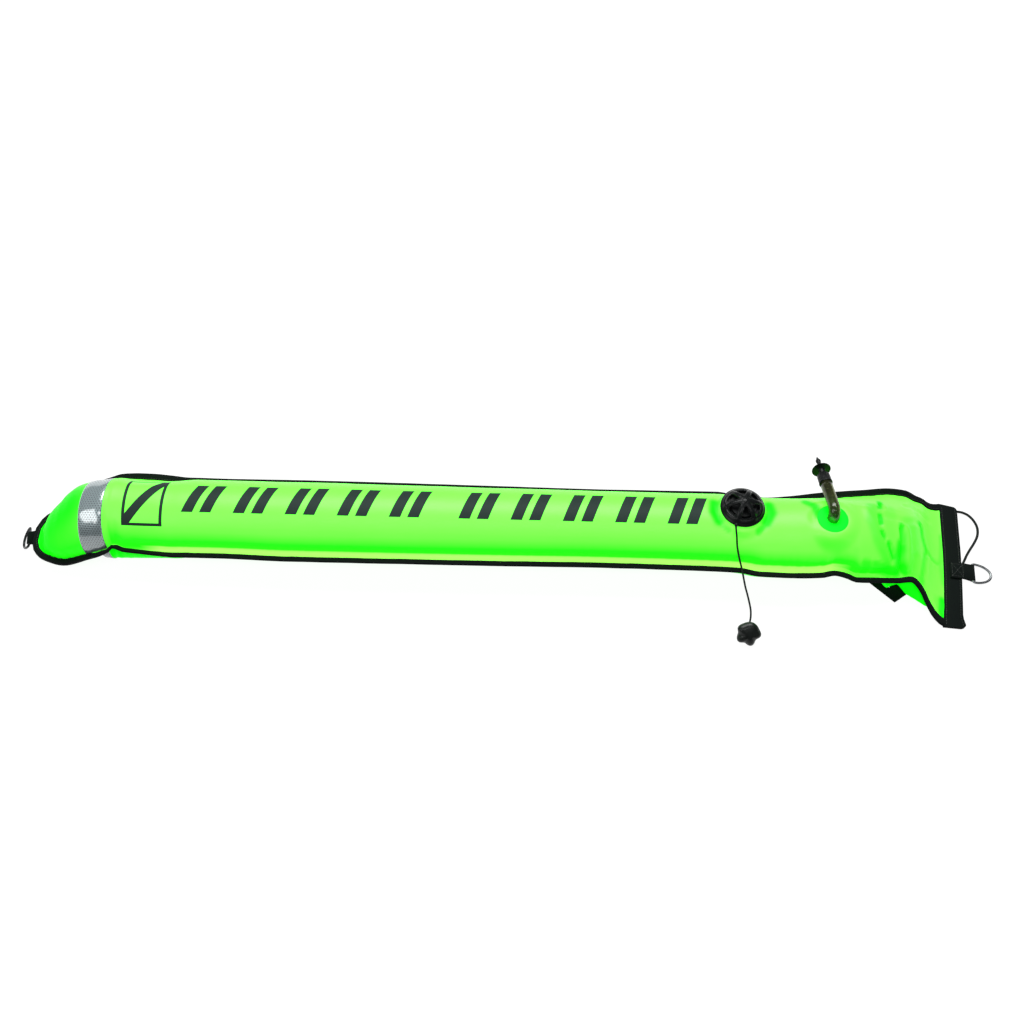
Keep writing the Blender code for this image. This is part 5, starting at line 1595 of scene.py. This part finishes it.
def beside_rib(x, y, count):
    """A plan point's distance from the nearest rib's middle."""
    pitch = 2 * math.pi / count
    turns = (math.atan2(y, x) - math.radians(CAP_TURN)) / pitch
    return math.hypot(x, y) * math.sin(abs(turns - round(turns)) * pitch)


def dome_height(x, y, count):
    """The dome's height over a plan point: crowned ribs, and a rim that dips between them."""
    radius, aside = math.hypot(x, y), beside_rib(x, y, count)
    height = pchip(DOME_MM, radius)[1]
    crown, width = RIB_CROWN_MM
    height += crown * math.exp(-(aside / width) ** 2) * min(radius / 9, 1)
    return height - rim_dip(aside) * clamp((radius - DIP_START_MM) / DIP_RUN_MM)


def rim_dip(aside):
    """How far the cap's rim dips at a distance from the nearest rib."""
    dip, width = RIM_DIP_MM
    return dip * (1 - math.exp(-(aside / width) ** 2))


def window_outline():
    """A window's rounded outline on its own axis, in order round it."""
    corners = [Vector(point) for point in WINDOW_MM]
    corners += [Vector((x, -y)) for x, y in reversed(WINDOW_MM)]
    for _ in range(3):
        rounded = []
        for a, b in zip(corners, corners[1:] + corners[:1]):
            rounded += [a.lerp(b, 0.25), a.lerp(b, 0.75)]
        corners = rounded
    return corners


def beyond_window(aim, count):
    """Where a ray from a window's middle leaves its sector of the dome."""
    middle, slope = WINDOW_MIDDLE_MM, math.tan(math.pi / count)
    found = []
    for reach, sign in ((DOME_OUTER_MM, 1), (DOME_INNER_MM, -1)):
        half, rest = middle * aim.x, middle * middle - reach * reach
        root = half * half - rest
        if root >= 0:
            found.append(-half + sign * math.sqrt(root))
    if abs(aim.y) - aim.x * slope > 1e-6:
        found.append(middle * slope / (abs(aim.y) - aim.x * slope))
    return min(t for t in found if t > 0)


def dome_mesh(count):
    """The cap's top: equal sectors, each with a window whose edge is rolled inward."""
    work = bmesh.new()
    outline = window_outline()
    middle = Vector((WINDOW_MIDDLE_MM, 0))
    for i in range(count):
        turn = math.radians(CAP_TURN) + 2 * math.pi * (i + 0.5) / count
        spin = Matrix.Rotation(turn, 2)
        columns = []
        for point in outline:
            aim = (point - middle).normalized()
            outside = middle + aim * beyond_window(aim, count)
            spots = []
            for share in WINDOW_SHARES:
                spot = spin @ point.lerp(outside, share)
                spots.append((spot.x, spot.y, dome_height(spot.x, spot.y, count)))
            edge = spin @ point
            top = dome_height(edge.x, edge.y, count)
            for inward, down in WINDOW_EDGE_MM:
                spot = spin @ (point - aim * inward)
                spots.append((spot.x, spot.y, top - down))
            columns.append([work.verts.new(Vector(spot) * MM) for spot in spots])
        for first, second in zip(columns, columns[1:] + columns[:1]):
            for k in range(len(first) - 1):
                work.faces.new((first[k], first[k + 1], second[k + 1], second[k]))
    bmesh.ops.remove_doubles(work, verts=work.verts, dist=0.02 * MM)
    return mesh_from(work)


def skirt_mesh(count):
    """The cap's skirt, with each rib running a little way down it."""
    mesh = lathe_mesh(SKIRT_MM, 144)
    for vertex in mesh.vertices:
        x, y, z = vertex.co / MM
        radius, aside = math.hypot(x, y), beside_rib(x, y, count)
        if z > 8 and radius > 23:
            vertex.co.z -= rim_dip(aside) * MM * (z - 8) / 2.5
        if SWELL_LOW_MM < z < SWELL_HIGH_MM and radius > SWELL_RADIUS_MM:
            size, width = RIB_SWELL_MM
            swell = 1 + (size / radius * math.exp(-(aside / width) ** 2)
                         * min((z - SWELL_LOW_MM) / 3, 1))
            vertex.co.x *= swell
            vertex.co.y *= swell
    return mesh


def build_valve(settings):
    """The vented cap, and better finishes on the solids that show through its windows."""
    colour = settings.plastic_colour
    black = moulded_finish("valve_gloss", colour, 0.26, 55.0, 0.06, gloss=0.16)
    dull = moulded_finish("valve_inner", colour, 0.5, 80.0, 0.08, gloss=0.08)
    rubber = moulded_finish("seal_rubber", RUBBER_COLOUR, 0.7, 120.0, 0.15)
    mesh = merged_mesh([dome_mesh(settings.ribs), skirt_mesh(settings.ribs),
                        lathe_mesh(HUB_MM, 48)])
    mesh.transform(Matrix.Translation(VALVE))
    add_piece("vented_cap", mesh, black, ("valve_cap",), sharp=55)
    for node, surface in (("valve_body", dull), ("valve_poppet", dull),
                          ("valve_backing_ring", dull), ("valve_gasket", rubber),
                          ("valve_seal", rubber)):
        finish_node(node, surface)


def finish_node(name, surface):
    """Give a CAD solid that stays its own material."""
    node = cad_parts[name]
    node.data.materials.clear()
    node.data.materials.append(surface)


def coil_mesh(size_mm, place):
    """A coil spring round the place's Z axis."""
    radius, wire, turns, low, high = size_mm
    steps = turns * 20
    line = []
    for i in range(steps + 1):
        angle = 2 * math.pi * i / 20
        line.append(place @ Vector((radius * MM * math.cos(angle), radius * MM * math.sin(angle),
                                    low * MM + (high * MM - low * MM) * i / steps)))
    return swept_mesh(tube_sections(line, wire * MM / 2, 10))


def build_springs(settings):
    """The two coil springs, of the dump valve and of the inflator."""
    steel = steel_finish("spring_steel", settings.steel_colour, 0.3)
    for name, node, joint, place, size_mm, fixed_end, keep in (
            ("valve_coil", "valve_spring", "dump_valve_lift", Matrix.Translation(VALVE),
             VALVE_COIL_MM, 16.6 * MM, 0.6),
            ("inflator_coil", "inflator_spring", "mouthpiece_press", inflator_place(),
             INFLATOR_COIL_MM, -6.4 * MM, 0.79)):
        coil = add_piece(name, coil_mesh(size_mm, place), steel, (node,))
        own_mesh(coil)


# Cords

def build_pull_cord(settings):
    """The dump valve's cord, its grommet in the cap's skirt and the five-lobed knob."""
    line, length = smooth_line(CORD_ROUTE_MM, CORD_SPACING)
    surface = braid_finish("braided_cord", settings.colour, 1.5)
    mesh = swept_mesh(tube_sections(line, settings.cord_radius, 12))
    cord = add_piece("pull_cord_braid", mesh, surface, ("pull_cord",))
    knob = build_knob()
    aim = Vector((line[0].x - VALVE.x, line[0].y - VALVE.y, 0)).normalized()
    black = moulded_finish("grommet_plastic", (0.006, 0.007, 0.007), 0.5, gloss=0.1)
    mesh = lathe_mesh(GROMMET_MM, 32, aimed_place(line[0] - aim * GROMMET_SINK, aim))
    add_piece("cord_grommet", mesh, black)


def build_knob():
    """The knob: rings of points whose reach swells at each lobe, more on the cord's side."""
    tilt = math.radians(KNOB_TILT)
    place = axes_place(Vector(KNOB_FOOT_MM) * MM, Vector((1, 0, 0)),
                       Vector((0, math.sin(tilt), math.cos(tilt))))
    sections = []
    last = KNOB_PROFILE_MM[-1][0]
    for i in range(KNOB_RINGS + 1):
        share = i / KNOB_RINGS
        along, radius, depth = pchip(KNOB_PROFILE_MM, last * math.sin(math.pi / 2 * share) ** 0.9)
        section = []
        for j in range(KNOB_STEPS):
            turn = 2 * math.pi * j / KNOB_STEPS
            from_lobe = turn - math.radians(KNOB_PHASE)
            wave = math.cos(KNOB_LOBES * from_lobe)
            wave += (1 - wave) * KNOB_CORD_SIDE * max(math.cos(from_lobe), 0.0)
            lobe = 1.04 + 0.72 * depth * (wave - 0.18 * (1 - wave) ** 2 * 0.5)
            reach = radius * lobe * MM
            section.append(place @ Vector((reach * math.cos(turn), reach * math.sin(turn),
                                           along * MM)))
        sections.append(section)
    surface = moulded_finish("knob_rubber", (0.006, 0.008, 0.007), 0.36, 90.0, 0.1, gloss=0.24)
    return add_piece("five_lobed_knob", swept_mesh(sections), surface,
                     ("pull_knob",))


def build_bungee(settings):
    """The bungee loop, from the hem's far end to its middle."""
    line, length = smooth_line(BUNGEE_ROUTE_MM, CORD_SPACING)
    surface = braid_finish("bungee_braid", settings.colour, 1.8)
    mesh = swept_mesh(tube_sections(line, settings.bungee_radius, 14))
    cord = add_piece("bungee_cord", mesh, surface, ("bungee_loop",))


# Oral inflator

def inflator_aim():
    """The direction in which the tube points after its bend."""
    turn, slope = math.radians(INFLATOR_TURN), math.radians(INFLATOR_SLOPE)
    return Vector((-math.sin(turn) * math.cos(slope), math.cos(turn) * math.cos(slope),
                   -math.sin(slope)))


def inflator_line():
    """The tube's centre line: up from inside the bag, round the bend and out."""
    aim, steps = inflator_aim(), 14
    bend = math.acos(aim.z)
    level = Vector((aim.x, aim.y, 0)).normalized()
    start = INFLATOR + Vector((0, 0, 4 * MM))
    points = [INFLATOR - Vector((0, 0, 5 * MM)), INFLATOR, start]
    for step in range(1, steps + 1):
        angle = bend * step / steps
        points.append(start + level * TUBE_BEND * (1 - math.cos(angle))
                      + Vector((0, 0, TUBE_BEND * math.sin(angle))))
    last = points[-1]
    points += [last + aim * TUBE_LENGTH * i / 6 for i in range(1, 7)]
    return points


def inflator_place():
    """The tube's open end, with Z along it."""
    return aimed_place(inflator_line()[-1], inflator_aim())


def fluted_mesh(profile_mm, flutes, place):
    """A turned mesh whose outer side has flutes between two heights."""
    mesh = lathe_mesh(profile_mm, 144)
    depth, low, high, plain_radius = (value * MM for value in FLUTES_MM)
    for vertex in mesh.vertices:
        x, y, z = vertex.co
        radius = math.hypot(x, y)
        if low < z < high and radius > plain_radius:
            turn = math.atan2(y, x)
            change = 1 - depth / radius * (0.5 - 0.5 * math.cos(flutes * turn)) ** 2
            vertex.co.x, vertex.co.y = x * change, y * change
    mesh.transform(place)
    return mesh


def build_inflator(settings):
    """Welded base, smoky elbow tube, fluted lock collar and the mouthpiece."""
    place = inflator_place()
    green = plain_cloth_finish("welded_base", settings.base_colour, 0.72)
    black = moulded_finish("inflator_satin", settings.plastic_colour, 0.34, 70.0, 0.08,
                           gloss=0.14)
    rubber = moulded_finish("inflator_rubber", RUBBER_COLOUR, 0.7, 120.0, 0.15)

    mesh = lathe_mesh(FLANGE_MM, 72, Matrix.Translation(INFLATOR))
    add_piece("inflator_base", mesh, green, ("inflator_flange",))

    mesh = swept_mesh(tube_sections(inflator_line(), INFLATOR_TUBE_RADIUS, 40), capped=False)
    tube = add_piece("inflator_elbow", mesh, smoky_finish(settings),
                     ("inflator_tube",))
    thicken(tube, "wall", TUBE_WALL, -1.0)

    mesh = fluted_mesh(COLLAR_MM, settings.flutes, place)
    add_piece("lock_collar_ring", mesh, black, ("inflator_collar",),
              "lock_collar", sharp=60)
    mesh = lathe_mesh(STEM_MM, 56, place)
    add_piece("mouthpiece", mesh, black, ("inflator_stem",),
              "inflator_mouthpiece", sharp=60)
    finish_node("inflator_housing", black)
    finish_node("inflator_seal", rubber)


# Stage

def new_tree(owner):
    """An owner's empty node tree."""
    owner.use_nodes = True
    owner.node_tree.nodes.clear()
    return owner.node_tree


def floor_finish(settings):
    """White floor: plain to the object's light, and bright to the camera but for the shadow."""
    made = bpy.data.materials.new("floor")
    tree = new_tree(made)
    path = add_node(tree, "LightPath").outputs
    seen = add_node(tree, "Math", path["Is Camera Ray"], path["Is Glossy Ray"],
                    operation="MAXIMUM").outputs[0]
    seen = add_node(tree, "Math", seen, path["Is Transmission Ray"],
                    operation="MAXIMUM").outputs[0]
    plain = add_node(tree, "BsdfDiffuse", (*settings.floor_bounce, 1)).outputs[0]
    shaded = add_node(tree, "BsdfDiffuse", (settings.shadow_share,) * 3 + (1,)).outputs[0]
    glow = add_node(tree, "Emission", None, settings.floor_glow).outputs[0]
    bright = add_node(tree, "AddShader", shaded, glow).outputs[0]
    both = add_node(tree, "MixShader", seen, plain, bright).outputs[0]
    add_node(tree, "OutputMaterial", both)
    return made


def build_world(settings):
    """A soft sky for the object's light, and white behind it for the camera."""
    world = bpy.data.worlds.new("studio")
    bpy.context.scene.world = world
    tree = new_tree(world)
    seen = add_node(tree, "LightPath").outputs["Is Camera Ray"]
    soft, bright = (add_node(tree, "Background", None, strength).outputs[0]
                    for strength in (settings.sky, 1.0))
    add_node(tree, "OutputWorld", add_node(tree, "MixShader", seen, soft, bright).outputs[0])


def place_aimed(name, data, spot, target):
    """Put a lamp or a camera at a spot, looking at a target."""
    made = link_object(name, data)
    made.location = spot
    made.rotation_euler = (Vector(target) - Vector(spot)).to_track_quat("-Z", "Y").to_euler()
    return made


def build_stage(settings):
    """Floor, sky, lamps and the camera at the photograph's viewing angle."""
    mesh = bpy.data.meshes.new("floor")
    mesh.from_pydata([(x * FLOOR_HALF, y * FLOOR_HALF, FLOOR_LEVEL)
                      for x, y in ((-1, -1), (1, -1), (1, 1), (-1, 1))], [], [(0, 1, 2, 3)])
    floor = link_object("floor", mesh)
    mesh.materials.append(floor_finish(settings))
    build_world(settings)

    for name, spot, size, power in LAMPS:
        data = bpy.data.lights.new(name, "AREA")
        data.shape = "RECTANGLE"
        data.size, data.size_y = size
        data.energy = getattr(settings, power)
        place_aimed(name, data, spot, LAMP_TARGET)

    data = bpy.data.cameras.new("camera")
    data.sensor_width = SENSOR_WIDTH
    data.lens = settings.lens
    scene = bpy.context.scene
    scene.camera = place_aimed("camera", data, settings.camera_spot, settings.camera_target)
    scene.view_settings.view_transform = "Standard"


# Sizes and colours that a user may change

def colour_setting(name, description, default):
    return FloatVectorProperty(name=name, description=description, default=default,
                               subtype="COLOR", size=3, min=0.0, max=1.0)


def length_setting(name, description, default):
    return FloatProperty(name=name, description=description, default=default, min=0.0,
                         unit="LENGTH", precision=5)


def factor_setting(name, description, default):
    return FloatProperty(name=name, description=description, default=default, min=0, max=1,
                         subtype="FACTOR")


def power_setting(name, default):
    return FloatProperty(name=name, description="Its power", default=default, unit="POWER")


class ClothSettings(bpy.types.PropertyGroup):
    colour: colour_setting("Colour", "The fluorescent cloth", (0.12, 0.95, 0.05))
    # Painted shade: the cloth's colour on its sides, in its folds and on the back panel
    painted_side_colour: colour_setting("Side", "The cloth on the sides and in folds", (0.01, 0.8, 0.01))
    # The glow's colour in the painted shade, then its paler colour where the painted light falls
    painted_side_glow: colour_setting("Dye", "The dye's own light, on the sides", (0.0, 1.0, 0.0))
    lit_colour: colour_setting("Lit dye", "The dye's own light, facing the sky", (0.14, 1.0, 0.048))
    print_colour: colour_setting("Print", "The dark print on the front", (0.014, 0.024, 0.02))
    roughness: factor_setting("Roughness", "How matt the coating is", 0.4)
    gloss: factor_setting("Gloss", "How much the coating reflects", 0.25)
    # The green glow stands partly for the dye's fluorescence and partly is painted light, which
    # keeps the green full in the shade
    glow: factor_setting("Fluorescence", "Light that the dye adds", 0.75)
    weave_pitch: length_setting("Weave", "Distance between threads", 0.7 * MM)
    cloth_step: length_setting("Rows", "Distance between the mesh's rows", 2.5 * MM)
    cloth_columns: IntProperty(name="Columns", description="Faces across each panel",
                               default=60, min=12, max=160)
    pucker_depth: FloatProperty(name="Puckers", description="Depth of the gathers, as a factor",
                                default=1.0, min=0, max=3)
    pucker_pitch: length_setting("Pucker pitch", "Distance between gathers", 13 * MM)
    pucker_reach: length_setting("Pucker reach", "How far gathers run from a seam", 13 * MM)


class BandSettings(bpy.types.PropertyGroup):
    tape_colour: colour_setting("Tape", "The reflective tape's lines", (0.30, 0.37, 0.38))
    cell_colour: colour_setting("Cells", "The tape's darker cells", (0.05, 0.065, 0.075))
    cell: length_setting("Cell", "Distance between cells", 3.9 * MM)
    tape_lift: length_setting("Lift", "How far the tape stands off the cloth", 0.12 * MM)


class WebbingSettings(bpy.types.PropertyGroup):
    colour: colour_setting("Colour", "Webbing, edge tape and cords", (0.0035, 0.0055, 0.005))
    thread_colour: colour_setting("Thread", "The stitches", (0.005, 0.007, 0.0065))
    steel_colour: colour_setting("Steel", "Rings and springs", (0.21, 0.22, 0.23))
    weave_pitch: length_setting("Warp", "Distance between warp threads", 1.2 * MM)
    rib_pitch: length_setting("Rib", "Distance between ribs", 1.7 * MM)
    stitch_length: length_setting("Stitch", "Length of a stitch", 2.8 * MM)
    stitch_gap: length_setting("Stitch gap", "Gap between stitches", 1.0 * MM)
    binding_sway: FloatProperty(name="Sway", description="How far the tape wanders, in mm",
                                default=0.35, min=0, max=2)
    cord_radius: length_setting("Cord", "Radius of the pull cord", 1.3 * MM)
    bungee_radius: length_setting("Bungee", "Radius of the bungee", 1.8 * MM)


class FittingSettings(bpy.types.PropertyGroup):
    plastic_colour: colour_setting("Plastic", "Valve and inflator", (0.005, 0.006, 0.006))
    base_colour: colour_setting("Base", "The inflator's welded base", (0.0, 0.7, 0.02))
    tube_colour: colour_setting("Tube", "The smoky tube", (0.17, 0.19, 0.08))
    tube_clearness: factor_setting("Clearness", "How see-through the tube is", 0.9)
    ribs: IntProperty(name="Ribs", description="Ribs of the valve's cap", default=6, min=3, max=12)
    flutes: IntProperty(name="Flutes", description="Flutes round the lock collar", default=18,
                        min=6, max=60)


class StageSettings(bpy.types.PropertyGroup):
    floor_bounce: colour_setting("Floor", "What the floor gives back", (0.08, 0.08, 0.08))
    shadow_share: factor_setting("Shadow", "How much of the floor is shaded", 0.12)
    floor_glow: FloatProperty(name="Floor glow", description="The floor's own white",
                              default=0.94, min=0, max=1)
    sky: FloatProperty(name="Sky", description="Strength of the soft sky", default=0.07, min=0)
    over_power: power_setting("Overhead lamp", 125.0)
    front_power: power_setting("Front lamp", 1.2)
    strip_power: power_setting("Strip lamp", 16.0)
    tape_power: power_setting("Tape lamp", 26.0)
    lens: FloatProperty(name="Lens", description="Focal length in millimetres",
                        default=36 * 1071 / 1024, unit="CAMERA")
    camera_spot: FloatVectorProperty(name="Camera", description="Where the camera stands",
                                     default=(0.03022, -0.73088, 1.36275), unit="LENGTH")
    camera_target: FloatVectorProperty(name="Target", description="What the camera looks at",
                                       default=(0.00928, 0.01882, 0.06371), unit="LENGTH")


class BUOY_OT_bag(bpy.types.Operator):
    """Build the bag's cloth, its inner sheets and the reflective band"""
    bl_idname = "buoy.bag"
    bl_label = "Bag cloth"

    def execute(self, context):
        settings = context.scene.buoy_cloth
        build_panels(settings)
        build_duckbill(settings)
        build_band(context.scene.buoy_band, settings)
        return {"FINISHED"}


class BUOY_OT_webbing(bpy.types.Operator):
    """Build the edge tape, hem, tabs, rings, strap and their stitches"""
    bl_idname = "buoy.webbing"
    bl_label = "Tapes, webbing and rings"

    def execute(self, context):
        settings = context.scene.buoy_webbing
        runs = build_binding(settings) + build_hem(settings) + build_rings(settings)
        build_strap(settings)
        build_stitching(settings, runs)
        return {"FINISHED"}


class BUOY_OT_valve(bpy.types.Operator):
    """Build the dump valve's vented cap and finish its inner parts"""
    bl_idname = "buoy.valve"
    bl_label = "Dump valve"

    def execute(self, context):
        build_valve(context.scene.buoy_fittings)
        build_springs(context.scene.buoy_webbing)
        return {"FINISHED"}


class BUOY_OT_cords(bpy.types.Operator):
    """Build the pull cord with its knob, and the bungee loop"""
    bl_idname = "buoy.cords"
    bl_label = "Cords"

    def execute(self, context):
        settings = context.scene.buoy_webbing
        build_pull_cord(settings)
        build_bungee(settings)
        return {"FINISHED"}


class BUOY_OT_inflator(bpy.types.Operator):
    """Build the oral inflator"""
    bl_idname = "buoy.inflator"
    bl_label = "Oral inflator"

    def execute(self, context):
        build_inflator(context.scene.buoy_fittings)
        return {"FINISHED"}


class BUOY_OT_stage(bpy.types.Operator):
    """Build the floor, sky, lamps and camera"""
    bl_idname = "buoy.stage"
    bl_label = "Stage"

    def execute(self, context):
        build_stage(context.scene.buoy_stage)
        return {"FINISHED"}


OPERATORS = (BUOY_OT_stage, BUOY_OT_cords, BUOY_OT_bag, BUOY_OT_webbing, BUOY_OT_valve,
             BUOY_OT_inflator)
SETTINGS = (("buoy_cloth", ClothSettings), ("buoy_band", BandSettings),
            ("buoy_webbing", WebbingSettings), ("buoy_fittings", FittingSettings),
            ("buoy_stage", StageSettings))


class BUOY_PT_panel(bpy.types.Panel):
    """Lists the buoy's settings and the operators that build it"""
    bl_label = "Surface marker buoy"
    bl_idname = "BUOY_PT_panel"
    bl_space_type = "VIEW_3D"
    bl_region_type = "UI"
    bl_category = "Buoy"

    def draw(self, context):
        for operator in OPERATORS:
            self.layout.operator(operator.bl_idname)
        for name, group in SETTINGS:
            box = self.layout.box()
            for field in group.__annotations__:
                box.prop(getattr(context.scene, name), field)


def register():
    for name, group in SETTINGS:
        bpy.utils.register_class(group)
        setattr(bpy.types.Scene, name, PointerProperty(type=group))
    for item in (*OPERATORS, BUOY_PT_panel):
        bpy.utils.register_class(item)


def unregister():
    for item in reversed((*OPERATORS, BUOY_PT_panel)):
        bpy.utils.unregister_class(item)
    for name, group in reversed(SETTINGS):
        delattr(bpy.types.Scene, name)
        bpy.utils.unregister_class(group)


def main():
    register()
    for operator in OPERATORS:
        name = operator.bl_idname.split(".")[1]
        getattr(bpy.ops.buoy, name)()


if __name__ == "__main__":
    main()
